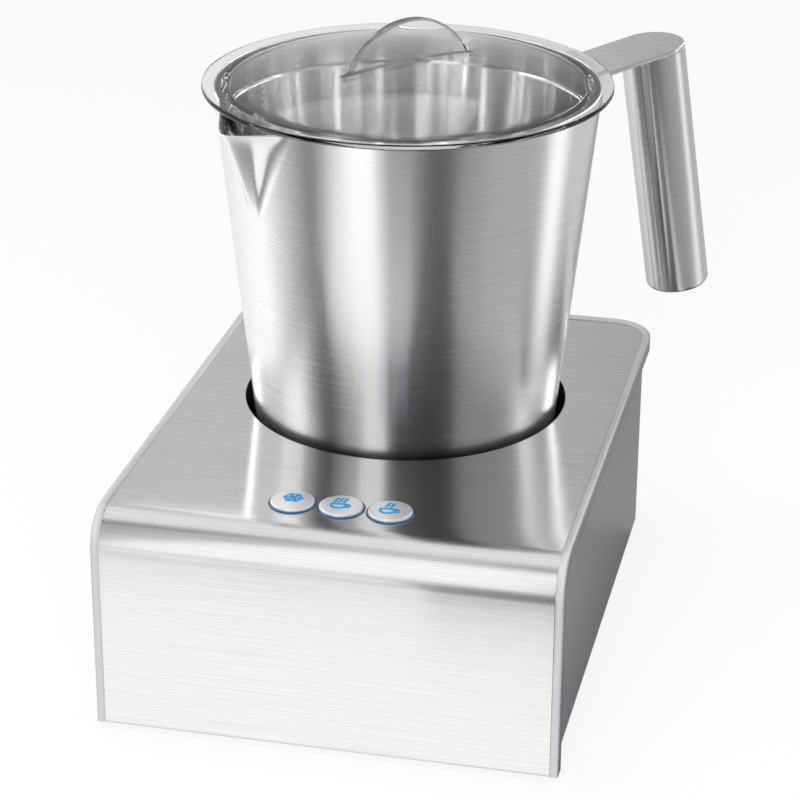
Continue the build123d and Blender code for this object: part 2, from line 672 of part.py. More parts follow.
FAN_ROTOR_Z = PLATE_TOP_Z + FAN_SPIDER + FAN_GAP
FAN_ROTOR_HEIGHT = FAN_HEIGHT - FAN_SPIDER - 2 * FAN_GAP
with BuildPart() as fan_rotor:
    with BuildSketch(level(FAN_ROTOR_Z, FAN_X, FAN_Y)):
        Circle(FAN_HUB)
    extrude(amount=FAN_ROTOR_HEIGHT)
    with Locations((FAN_X, FAN_Y, FAN_ROTOR_Z + FAN_ROTOR_HEIGHT / 2)):
        with PolarLocations((FAN_BLADE_ROOT + FAN_BLADE_REACH) / 2, FAN_BLADES):
            Box(
                FAN_BLADE_REACH - FAN_BLADE_ROOT,
                FAN_BLADE,
                FAN_ROTOR_HEIGHT - 2 * FAN_GAP,
                rotation=(FAN_BLADE_PITCH, 0, 0),
            )
    with BuildSketch(level(FAN_ROTOR_Z, FAN_X, FAN_Y)):
        Circle(FAN_PIN + RUNNING_GAP)
    extrude(amount=FAN_ROTOR_HEIGHT, mode=Mode.SUBTRACT)
fan_rotor.part.label = "fan_rotor"
export_step(fan_rotor.part, "parts/fan_rotor.step")

# Control board under the buttons
CONTROL_LENGTH = 60.0
CONTROL_DEPTH = 24.0
SWITCH_SIZE = 6.0
SWITCH_HEIGHT = 3.5
PLUNGER_RADIUS = 1.7
PLUNGER_LENGTH = 3.0
PLUNGER_LOW_Z = BOARD_TOP_Z + 2.4
PLUNGER_TOP_Z = PLUNGER_LOW_Z + PLUNGER_LENGTH
LED_SIZE = 2.8
LED_HEIGHT = 1.6
LED_SHIFT = 5.6
with BuildPart() as control_board:
    with BuildSketch(level(BOARD_TOP_Z - BOARD_THICK, 0, BUTTON_Y)):
        Rectangle(CONTROL_LENGTH, CONTROL_DEPTH)
    extrude(amount=BOARD_THICK)
control_board.part.label = "control_board"
export_step(control_board.part, "parts/control_board.step")

with BuildPart() as switch_bodies:
    with BuildSketch(Plane.XY.offset(BOARD_TOP_Z)):
        with Locations(*BUTTON_SPOTS):
            Rectangle(SWITCH_SIZE, SWITCH_SIZE)
    extrude(amount=SWITCH_HEIGHT)
    with BuildSketch(Plane.XY.offset(PLUNGER_LOW_Z - BUTTON_TRAVEL - FIT_GAP)):
        with Locations(*BUTTON_SPOTS):
            Circle(PLUNGER_RADIUS + RUNNING_GAP)
    extrude(amount=SWITCH_HEIGHT, mode=Mode.SUBTRACT)
switch_bodies.part.label = "switch_bodies"
export_step(switch_bodies.part, "parts/switch_bodies.step")

with BuildPart() as status_leds:
    with BuildSketch(level(BOARD_TOP_Z, 0, BUTTON_Y + LED_SHIFT)):
        with GridLocations(BUTTON_PITCH, 0, len(BUTTON_SPOTS), 1):
            Rectangle(LED_SIZE, LED_SIZE)
    extrude(amount=LED_HEIGHT)
status_leds.part.label = "status_leds"
export_step(status_leds.part, "parts/status_leds.step")

# Light guide: one blue moulding under the sheet, with a ring that shows around each button
with BuildPart() as light_guide:
    with BuildSketch(level(GUIDE_SEAT_Z, 0, BUTTON_Y)):
        SlotOverall(BUTTON_ROW + GUIDE_WIDTH, GUIDE_WIDTH)
    extrude(amount=GUIDE_THICK)
    with BuildSketch(Plane.XY.offset(SEAT_Z)):
        with Locations(*BUTTON_SPOTS):
            Circle(RING_OUTER)
    extrude(amount=SHEET + RING_PROUD)
    with BuildSketch(Plane.XY.offset(GUIDE_SEAT_Z)):
        with Locations(*BUTTON_SPOTS):
            Circle(RING_INNER)
    extrude(amount=TOP_Z, mode=Mode.SUBTRACT)
light_guide.part.label = "light_guide"
export_step(light_guide.part, "parts/light_guide.step")

# Each push button has a cap and a switch plunger under its stem
CAP_TOP_Z = SHEET_TOP_Z + BUTTON_PROUD
CAP_EDGE = 0.5
CAP_FLANGE = 7.1
CAP_FLANGE_THICK = 0.9
CAP_FLANGE_TOP_Z = GUIDE_SEAT_Z - FIT_GAP
CAP_FLANGE_LOW_Z = CAP_FLANGE_TOP_Z - CAP_FLANGE_THICK
STEM_RADIUS = 2.0
for name, (spot_x, spot_y) in zip(BUTTON_NAMES, BUTTON_SPOTS):
    section = Plane(origin=(spot_x, spot_y, 0), x_dir=(1, 0, 0), z_dir=(0, -1, 0))
    spot_axis = Axis((spot_x, spot_y, 0), (0, 0, 1))
    with BuildPart() as button_cap:
        with BuildSketch(section):
            with BuildLine():
                crown_edge = (BUTTON_RADIUS - CAP_EDGE, CAP_TOP_Z - BUTTON_CROWN)
                wall_top = (BUTTON_RADIUS, CAP_TOP_Z - BUTTON_CROWN - CAP_EDGE)
                TangentArc((0, CAP_TOP_Z), crown_edge, tangent=(1, 0))
                JernArc(crown_edge, (1, 0), CAP_EDGE, -90)
                Polyline(
                    wall_top,
                    (BUTTON_RADIUS, CAP_FLANGE_TOP_Z),
                    (CAP_FLANGE, CAP_FLANGE_TOP_Z),
                    (CAP_FLANGE, CAP_FLANGE_LOW_Z),
                    (STEM_RADIUS, CAP_FLANGE_LOW_Z),
                    (STEM_RADIUS, PLUNGER_TOP_Z),
                    (0, PLUNGER_TOP_Z),
                    (0, CAP_TOP_Z),
                )
            make_face()
        revolve(axis=spot_axis)
    button_cap.part.label = f"button_{name}"
    export_step(button_cap.part, f"parts/button_{name}.step")

    with BuildPart() as switch_plunger:
        with BuildSketch(level(PLUNGER_LOW_Z, spot_x, spot_y)):
            Circle(PLUNGER_RADIUS)
        extrude(amount=PLUNGER_TOP_Z - PLUNGER_LOW_Z)
    switch_plunger.part.label = f"plunger_{name}"
    export_step(switch_plunger.part, f"parts/plunger_{name}.step")


def tapered_cup(inset, floor_z, corner):
    """Solid tapered cup outline of the jug, moved inwards, running past the rim."""
    top_z = JUG_RIM_Z + OVERRUN
    with BuildSketch(JUG_SECTION) as outline:
        with BuildLine():
            Polyline(
                (0, floor_z),
                (jug_radius(floor_z) - inset, floor_z),
                (jug_radius(top_z) - inset, top_z),
                (0, top_z),
                close=True,
            )
        make_face()
        fillet(outline.vertices().group_by(Axis.Y)[0].sort_by(Axis.X)[-1], corner)
    return outline.sketch


def spout_plane(z):
    """Level plane on the jug axis with its x axis towards the spout."""
    azimuth = radians(SPOUT_AZIMUTH)
    return Plane(origin=(0, JUG_Y, z), x_dir=(cos(azimuth), sin(azimuth), 0), z_dir=(0, 0, 1))


def spout_section(z, inset):
    """Triangle with a round tip that the spout fills at a height, moved inwards."""
    rise = (z - SPOUT_ROOT_Z) / (JUG_RIM_Z - SPOUT_ROOT_Z)
    wall = jug_radius(z) - SPOUT_BITE - inset
    root_reach = jug_radius(SPOUT_ROOT_Z) - SPOUT_BITE
    half_angle = radians(SPOUT_ROOT_ANGLE + (SPOUT_HALF_ANGLE - SPOUT_ROOT_ANGLE) * rise)
    tip = root_reach + (SPOUT_REACH - root_reach) * rise - SPOUT_TIP_WALL * inset
    tip_round = SPOUT_ROOT_ROUND + (SPOUT_TIP_ROUND - SPOUT_ROOT_ROUND) * rise
    with BuildSketch(spout_plane(z)) as section:
        with BuildLine():
            Polyline(
                (wall * cos(half_angle), -wall * sin(half_angle)),
                (tip, 0),
                (wall * cos(half_angle), wall * sin(half_angle)),
                close=True,
            )
        make_face()
        fillet(section.vertices().sort_by(Axis.X)[-1], tip_round)
    return section.sketch


# Jug: drawn steel cup whose wall is pressed out into a spout
with BuildPart() as jug_outside:
    revolve(tapered_cup(0, JUG_SHELL_Z, JUG_BOTTOM_ROUND), axis=JUG_AXIS)
    loft([spout_section(SPOUT_ROOT_Z + 1, 0), spout_section(JUG_RIM_Z + OVERRUN, 0)])

with BuildPart() as jug_inside:
    revolve(tapered_cup(JUG_WALL, JUG_FLOOR_Z, JUG_BOTTOM_ROUND - JUG_WALL), axis=JUG_AXIS)
    loft([spout_section(SPOUT_ROOT_Z + 1, JUG_WALL), spout_section(JUG_RIM_Z + OVERRUN, JUG_WALL)])

SPOUT_UPRIGHT = Plane(
    origin=(0, JUG_Y, 0),
    x_dir=(-HANDLE_X, -HANDLE_Y, 0),
    z_dir=(-HANDLE_Y, HANDLE_X, 0),
)
with BuildPart() as jug_body:
    add(jug_outside.part)
    add(jug_inside.part, mode=Mode.SUBTRACT)
    with BuildSketch(level(JUG_RIM_Z)):
        Circle(2 * JUG_RIM_RADIUS)
    extrude(amount=2 * OVERRUN, mode=Mode.SUBTRACT)
    with BuildSketch(SPOUT_UPRIGHT):
        with BuildLine():
            Polyline(
                (JUG_RIM_RADIUS - 1, JUG_RIM_Z),
                (2 * JUG_RIM_RADIUS, JUG_RIM_Z - SPOUT_DIP * (JUG_RIM_RADIUS + 1)),
                (2 * JUG_RIM_RADIUS, JUG_RIM_Z + OVERRUN),
                (JUG_RIM_RADIUS - 1, JUG_RIM_Z + OVERRUN),
                close=True,
            )
        make_face()
    extrude(amount=JUG_RIM_RADIUS / 2, both=True, mode=Mode.SUBTRACT)
jug_body.part.label = "jug_body"
export_step(jug_body.part, "parts/jug_body.step")

with BuildPart() as jug_base_plate:
    with BuildSketch(level(JUG_BOTTOM_Z)):
        Circle(BASE_PLATE_RADIUS)
    extrude(amount=BASE_PLATE)
    chamfer(jug_base_plate.edges().group_by(Axis.Z)[0], BASE_PLATE_CHAMFER)
jug_base_plate.part.label = "jug_base_plate"
export_step(jug_base_plate.part, "parts/jug_base_plate.step")

WHISK_LOW_Z = JUG_FLOOR_Z + WHISK_LIFT
WHISK_HUB_HEIGHT = 12.0
WHISK_HUB_TOP_Z = WHISK_LOW_Z + WHISK_HUB_HEIGHT
PIN_BELOW_HUB = 1.0
PIN_ROUND = 1.2
with BuildPart() as whisk_pin:
    with BuildSketch(level(JUG_FLOOR_Z)):
        Circle(WHISK_PIN_RADIUS)
    extrude(amount=WHISK_HUB_TOP_Z - JUG_FLOOR_Z - PIN_BELOW_HUB)
    fillet(whisk_pin.edges().group_by(Axis.Z)[-1], PIN_ROUND)
whisk_pin.part.label = "whisk_pin"
export_step(whisk_pin.part, "parts/whisk_pin.step")

# Handle: strap welded under the rim, tube hung from its end, plug in the tube's lower end
STRAP_PLANE = Plane(
    origin=(TUBE_REACH * HANDLE_X, JUG_Y + TUBE_REACH * HANDLE_Y, STRAP_Z_AT_TUBE),
    x_dir=(
        HANDLE_X * cos(radians(STRAP_SLOPE)),
        HANDLE_Y * cos(radians(STRAP_SLOPE)),
        sin(radians(STRAP_SLOPE)),
    ),
    z_dir=(
        -HANDLE_X * sin(radians(STRAP_SLOPE)),
        -HANDLE_Y * sin(radians(STRAP_SLOPE)),
        cos(radians(STRAP_SLOPE)),
    ),
)
STRAP_RUN = TUBE_REACH - JUG_RIM_RADIUS + STRAP_OVERLAP
with BuildPart() as handle_strap:
    with BuildSketch(STRAP_PLANE):
        Circle(TUBE_RADIUS)
        with Locations((-STRAP_RUN / 2, 0)):
            Rectangle(STRAP_RUN, 2 * TUBE_RADIUS)
    extrude(amount=-STRAP_THICK)
    fillet(handle_strap.faces().sort_by(Axis.Z)[-1].edges().sort_by(Axis.Z)[1:], STRAP_EDGE)
    add(jug_outside.part, mode=Mode.SUBTRACT)
handle_strap.part.label = "handle_strap"
export_step(handle_strap.part, "parts/handle_strap.step")

TUBE_DROP = STRAP_Z_AT_TUBE - TUBE_BOTTOM_Z
TUBE_LOW_REACH = TUBE_REACH + TUBE_DROP * tan(radians(TUBE_TILT))
TUBE_PLANE = Plane(
    origin=(TUBE_LOW_REACH * HANDLE_X, JUG_Y + TUBE_LOW_REACH * HANDLE_Y, TUBE_BOTTOM_Z),
    x_dir=(-HANDLE_Y, HANDLE_X, 0),
    z_dir=(
        -HANDLE_X * sin(radians(TUBE_TILT)),
        -HANDLE_Y * sin(radians(TUBE_TILT)),
        cos(radians(TUBE_TILT)),
    ),
)
with BuildPart() as handle_tube:
    with BuildSketch(TUBE_PLANE.offset(CAP_THICK)):
        Circle(TUBE_RADIUS)
        Circle(TUBE_RADIUS - TUBE_WALL, mode=Mode.SUBTRACT)
    extrude(amount=TUBE_DROP + STRAP_OVERLAP)
    split(bisect_by=STRAP_PLANE.offset(-STRAP_THICK), keep=Keep.BOTTOM)
handle_tube.part.label = "handle_tube"
export_step(handle_tube.part, "parts/handle_tube.step")

CAP_SPIGOT = 4.0
with BuildPart() as handle_end_cap:
    with BuildSketch(TUBE_PLANE):
        Circle(TUBE_RADIUS)
    extrude(amount=CAP_THICK)
    fillet(handle_end_cap.edges().sort_by(Axis.Z)[0], CAP_ROUND)
    with BuildSketch(TUBE_PLANE.offset(CAP_THICK)):
        Circle(TUBE_RADIUS - TUBE_WALL - RUNNING_GAP)
    extrude(amount=CAP_SPIGOT)
handle_end_cap.part.label = "handle_end_cap"
export_step(handle_end_cap.part, "parts/handle_end_cap.step")

# Whisk: slotted disc with upright vanes and magnets in its underside
VANE_COUNT = 8
VANE_HEIGHT = 5.0
VANE_LENGTH = 8.0
VANE_CIRCLE = WHISK_RADIUS - 4.5
VANE_THICK = 1.2
WHISK_HUB_RADIUS = 5.0
SLOT_COUNT = 8
SLOT_LENGTH = 5.0
SLOT_WIDTH = 2.4
SLOT_CIRCLE = WHISK_RADIUS - 3.6
WHISK_DISC_TOP_Z = WHISK_LOW_Z + WHISK_DISC
with BuildPart() as whisk:
    with BuildSketch(level(WHISK_LOW_Z)):
        Circle(WHISK_RADIUS)
        with PolarLocations(SLOT_CIRCLE, SLOT_COUNT, start_angle=180 / SLOT_COUNT):
            SlotOverall(SLOT_LENGTH, SLOT_WIDTH, rotation=90, mode=Mode.SUBTRACT)
    extrude(amount=WHISK_DISC)
    with BuildSketch(level(WHISK_DISC_TOP_Z)):
        Circle(WHISK_HUB_RADIUS)
    extrude(amount=WHISK_HUB_TOP_Z - WHISK_DISC_TOP_Z)
    with BuildSketch(level(WHISK_DISC_TOP_Z)):
        with PolarLocations(VANE_CIRCLE, VANE_COUNT):
            Rectangle(VANE_LENGTH, VANE_THICK)
    extrude(amount=VANE_HEIGHT)
    with BuildSketch(level(WHISK_LOW_Z)):
        with PolarLocations(WHISK_MAGNET_CIRCLE, MAGNET_COUNT):
            Circle(MAGNET_RADIUS)
    extrude(amount=MAGNET_HEIGHT, mode=Mode.SUBTRACT)
    with BuildSketch(level(WHISK_LOW_Z)):
        Circle(WHISK_PIN_RADIUS + RUNNING_GAP)
    extrude(amount=WHISK_HUB_TOP_Z - WHISK_LOW_Z, mode=Mode.SUBTRACT)
whisk.part.label = "whisk"
export_step(whisk.part, "parts/whisk.step")

with BuildPart() as whisk_magnets:
    with BuildSketch(level(WHISK_LOW_Z)):
        with PolarLocations(WHISK_MAGNET_CIRCLE, MAGNET_COUNT):
            Circle(MAGNET_RADIUS)
    extrude(amount=MAGNET_HEIGHT)
whisk_magnets.part.label = "whisk_magnets"
export_step(whisk_magnets.part, "parts/whisk_magnets.step")

# Lid: clear moulding with a flange on the rim, a skirt inside it, a domed plate and a grip fin
FLANGE_LOW_Z = JUG_RIM_Z + LID_SEAT_GAP
FLANGE_TOP_Z = FLANGE_LOW_Z + LID_FLANGE
SKIRT_LOW_Z = FLANGE_TOP_Z - LID_SKIRT_DEPTH
SKIRT_INNER = LID_SKIRT_RADIUS - LID_SKIRT_WALL
DOME_TOP_Z = FLANGE_TOP_Z + LID_DOME_RISE
DOME_UNDER_Z = DOME_TOP_Z - LID_PLATE
with BuildPart() as lid_underspace:
    with BuildSketch(JUG_SECTION):
        with BuildLine():
            ThreePointArc(
                (-SKIRT_INNER, FLANGE_TOP_Z - LID_PLATE),
                (0, DOME_UNDER_Z),
                (SKIRT_INNER, FLANGE_TOP_Z - LID_PLATE),
            )
            Polyline(
                (SKIRT_INNER, FLANGE_TOP_Z - LID_PLATE),
                (SKIRT_INNER, 0),
                (-SKIRT_INNER, 0),
                (-SKIRT_INNER, FLANGE_TOP_Z - LID_PLATE),
            )
        make_face()
        with Locations((-SKIRT_INNER, TOP_Z)):
            Rectangle(2 * SKIRT_INNER, 4 * TOP_Z, mode=Mode.SUBTRACT)
    revolve(axis=JUG_AXIS)

FIN_PLANE = Plane(
    origin=(0, JUG_Y, 0),
    x_dir=(HANDLE_X, HANDLE_Y, 0),
    z_dir=(HANDLE_Y, -HANDLE_X, 0),
)
with BuildPart() as lid:
    with BuildSketch(JUG_SECTION) as lid_profile:
        with BuildLine():
            ThreePointArc(
                (-SKIRT_INNER, FLANGE_TOP_Z),
                (0, DOME_TOP_Z),
                (SKIRT_INNER, FLANGE_TOP_Z),
            )
            Polyline(
                (SKIRT_INNER, FLANGE_TOP_Z),
                (LID_RADIUS, FLANGE_TOP_Z),
                (LID_RADIUS, FLANGE_LOW_Z),
                (LID_SKIRT_RADIUS, FLANGE_LOW_Z),
                (LID_SKIRT_RADIUS, SKIRT_LOW_Z),
                (-SKIRT_INNER, SKIRT_LOW_Z),
                (-SKIRT_INNER, FLANGE_TOP_Z),
            )
        make_face()
        fillet(lid_profile.vertices().sort_by(Axis.X)[-2:], LID_EDGE)
        with Locations((-SKIRT_INNER, TOP_Z)):
            Rectangle(2 * SKIRT_INNER, 4 * TOP_Z, mode=Mode.SUBTRACT)
    revolve(axis=JUG_AXIS)
    with BuildSketch(FIN_PLANE):
        with Locations((0, FIN_TOP_Z - FIN_RADIUS)):
            Circle(FIN_RADIUS)
    extrude(amount=FIN_THICK / 2, both=True)
    add(lid_underspace.part, mode=Mode.SUBTRACT)
lid.part.label = "lid"
export_step(lid.part, "parts/lid.step")
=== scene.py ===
import json
import logging
import math
from dataclasses import dataclass
from enum import Enum
from typing import Any, Optional, Sequence

import bmesh
import bpy
import numpy as np
from mathutils import Matrix, Vector


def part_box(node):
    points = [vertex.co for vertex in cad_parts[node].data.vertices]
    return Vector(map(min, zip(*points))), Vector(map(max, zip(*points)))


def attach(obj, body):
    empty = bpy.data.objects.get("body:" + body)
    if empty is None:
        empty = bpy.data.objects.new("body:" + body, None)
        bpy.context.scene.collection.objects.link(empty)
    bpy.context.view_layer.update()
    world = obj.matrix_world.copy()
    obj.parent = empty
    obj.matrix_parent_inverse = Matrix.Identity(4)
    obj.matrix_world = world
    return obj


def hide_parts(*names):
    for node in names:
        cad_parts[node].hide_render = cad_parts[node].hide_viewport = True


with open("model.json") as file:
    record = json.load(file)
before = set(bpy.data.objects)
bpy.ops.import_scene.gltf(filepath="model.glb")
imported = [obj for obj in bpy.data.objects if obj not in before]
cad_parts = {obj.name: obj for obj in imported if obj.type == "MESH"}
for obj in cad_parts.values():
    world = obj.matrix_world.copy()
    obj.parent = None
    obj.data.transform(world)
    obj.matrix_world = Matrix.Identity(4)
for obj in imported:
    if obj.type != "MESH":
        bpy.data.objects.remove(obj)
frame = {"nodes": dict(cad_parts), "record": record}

MM = 0.001
IMAGE_PIXELS = 800
SENSOR_MM = 36.0
LIGHT_AIM_Z = 60.0
WELD_MM = 1e-4
UV_NAME = "UVMap"
ACROSS_THE_LINES = 0.25
RELIEF_SHARE = 0.1
WHITE = (1.0, 1.0, 1.0, 1.0)

log = logging.getLogger("milk_frother")


class Body(Enum):
    """The moving bodies that dressed pieces ride on."""

    BASE = "base"
    JUG = "jug"
    LID = "lid"


class Sign(Enum):
    """The plain pictograms on the buttons."""

    SNOWFLAKE = "cold_foam"
    CUP_THREE_STEAM = "hot_foam"
    CUP_TWO_STEAM = "hot_milk"


# Where each wisp of steam starts, from the middle of the button
STEAM_PLACES: dict[Sign, tuple[float, ...]] = {
    Sign.CUP_THREE_STEAM: (-2.2, -0.85, 0.5),
    Sign.CUP_TWO_STEAM: (-1.5, -0.1),
}


def linear(hex_code: str) -> tuple[float, float, float, float]:
    """Turn an sRGB hex colour into linear RGBA.

    Args:
        hex_code: colour such as "#c0c0c0".

    Returns:
        The linear red, green and blue with alpha 1.
    """
    coded = np.array([int(hex_code[i:i + 2], 16) for i in (1, 3, 5)]) / 255.0
    value = np.where(coded <= 0.04045, coded / 12.92, ((coded + 0.055) / 1.055) ** 2.4)
    return (float(value[0]), float(value[1]), float(value[2]), 1.0)


def add_node(
    tree: bpy.types.NodeTree,
    kind: str,
    settings: Optional[dict[str, Any]] = None,
    inputs: Optional[dict[Any, Any]] = None,
) -> bpy.types.Node:
    """Add one node, set its properties, and set or link its inputs.

    Args:
        tree: node tree that gets the node.
        kind: Blender's name of the node type.
        settings: property values by name.
        inputs: values by socket name, or output sockets to link from.

    Returns:
        The new node.
    """
    node = tree.nodes.new(kind)
    for name, value in (settings or {}).items():
        setattr(node, name, value)
    for name, value in (inputs or {}).items():
        if isinstance(value, bpy.types.NodeSocket):
            tree.links.new(value, node.inputs[name])
        else:
            node.inputs[name].default_value = value
    return node


def box_mm(node: str) -> tuple[np.ndarray, np.ndarray]:
    """Lowest and highest corner of a CAD node in millimetres.

    Args:
        node: name of the node.

    Returns:
        The two corners.
    """
    low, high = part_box(node)
    return np.array(low) / MM, np.array(high) / MM


@dataclass
class Patch:
    """A grid of points in millimetres with a UV, in millimetres along the surface, for each."""

    points: np.ndarray
    uv: np.ndarray

    def faces(self, first: int) -> np.ndarray:
        """Quads of the grid, columns before rows, so that they face along column x row.

        Args:
            first: index of the grid's first vertex.

        Returns:
            One row of four vertex indices for each quad.
        """
        rows, columns = self.points.shape[:2]
        index = first + np.arange(rows * columns).reshape(rows, columns)
        corners = (index[:-1, :-1], index[:-1, 1:], index[1:, 1:], index[1:, :-1])
        return np.stack([corner.ravel() for corner in corners], axis=1)


def rounded(corners: Sequence[tuple[float, float, float]], steps: int = 8) -> np.ndarray:
    """A line through corners, each turned into an arc tangent to both of its sides.

    Args:
        corners: first and second coordinate and arc radius of each corner, ends included.
        steps: number of chords in each arc.

    Returns:
        Points of the line, one row each.
    """
    marks = np.array(corners, dtype=float)
    parts = [marks[:1, :2]]
    for before, corner, after in zip(marks[:-2], marks[1:-1], marks[2:]):
        into = corner[:2] - before[:2]
        out = after[:2] - corner[:2]
        into /= np.linalg.norm(into)
        out /= np.linalg.norm(out)
        turn = math.atan2(into[0] * out[1] - into[1] * out[0], float(into @ out))
        radius = corner[2]
        if radius == 0.0 or abs(turn) < 1e-6:
            parts.append(corner[None, :2])
            continue
        start = corner[:2] - into * radius * math.tan(abs(turn) / 2)
        side = np.array([-into[1], into[0]]) * math.copysign(1.0, turn)
        angle = np.linspace(0.0, abs(turn), steps + 1)[:, None]
        parts.append(start + into * radius * np.sin(angle) + side * radius * (1 - np.cos(angle)))
    parts.append(marks[-1:, :2])
    return np.concatenate(parts)


def resampled(line: np.ndarray, longest: float) -> np.ndarray:
    """The same line with points added evenly wherever two of them are further apart.

    Args:
        line: points, one row each.
        longest: largest distance that stays.

    Returns:
        The finer line, which keeps every point of the old one.
    """
    lengths = np.linalg.norm(np.diff(line, axis=0), axis=1)
    along = np.concatenate([[0.0], np.cumsum(lengths)])
    pieces = np.maximum(1, np.ceil(lengths / longest)).astype(int)
    marks = [np.linspace(a, b, n + 1)[:-1] for a, b, n in zip(along[:-1], along[1:], pieces)]
    finer = np.concatenate(marks + [along[-1:]])
    return np.stack([np.interp(finer, along, line[:, axis]) for axis in (0, 1)], axis=1)


def turned(profile: np.ndarray, angles: np.ndarray) -> Patch:
    """A profile of radius and height carried round the Z axis.

    Args:
        profile: radius and height, one row each, going up on the outside.
        angles: angles round the axis in radians, last equal to first plus a full turn.

    Returns:
        The surface, with u along the turn and v along the profile.
    """
    radius = profile[:, 0, None]
    height = np.broadcast_to(profile[:, 1, None], (len(profile), len(angles)))
    points = np.stack([radius * np.cos(angles), radius * np.sin(angles), height], axis=2)
    steps = np.linalg.norm(np.diff(profile, axis=0), axis=1)
    along = np.concatenate([[0.0], np.cumsum(steps)])[:, None]
    uv = np.stack(np.broadcast_arrays(angles * profile[:, 0].max(), along), axis=2)
    return Patch(points, uv)


def full_turn(steps: int) -> np.ndarray:
    """Evenly spaced angles of a full turn, both ends included."""
    return np.linspace(0.0, 2 * math.pi, steps + 1)


def oval(
    centre: Sequence[float], size: Sequence[float], arc: Sequence[float], steps: int,
) -> np.ndarray:
    """Points along part of an upright ellipse.

    Args:
        centre: its middle.
        size: its half width and half height.
        arc: first and last angle in degrees.
        steps: number of chords.

    Returns:
        Points of the line, one row each.
    """
    angle = np.linspace(*np.radians(arc), steps + 1)
    return np.array(centre) + np.array(size) * np.stack([np.cos(angle), np.sin(angle)], axis=1)


def moved(patch: Patch, axes: np.ndarray, origin: Sequence[float]) -> Patch:
    """A patch carried from its own axes to a place in the row frame.

    Args:
        patch: surface in its own axes.
        axes: three rows with the directions of its X, Y and Z.
        origin: place of its zero point.

    Returns:
        The moved patch.
    """
    return Patch(patch.points @ np.asarray(axes) + np.asarray(origin), patch.uv)


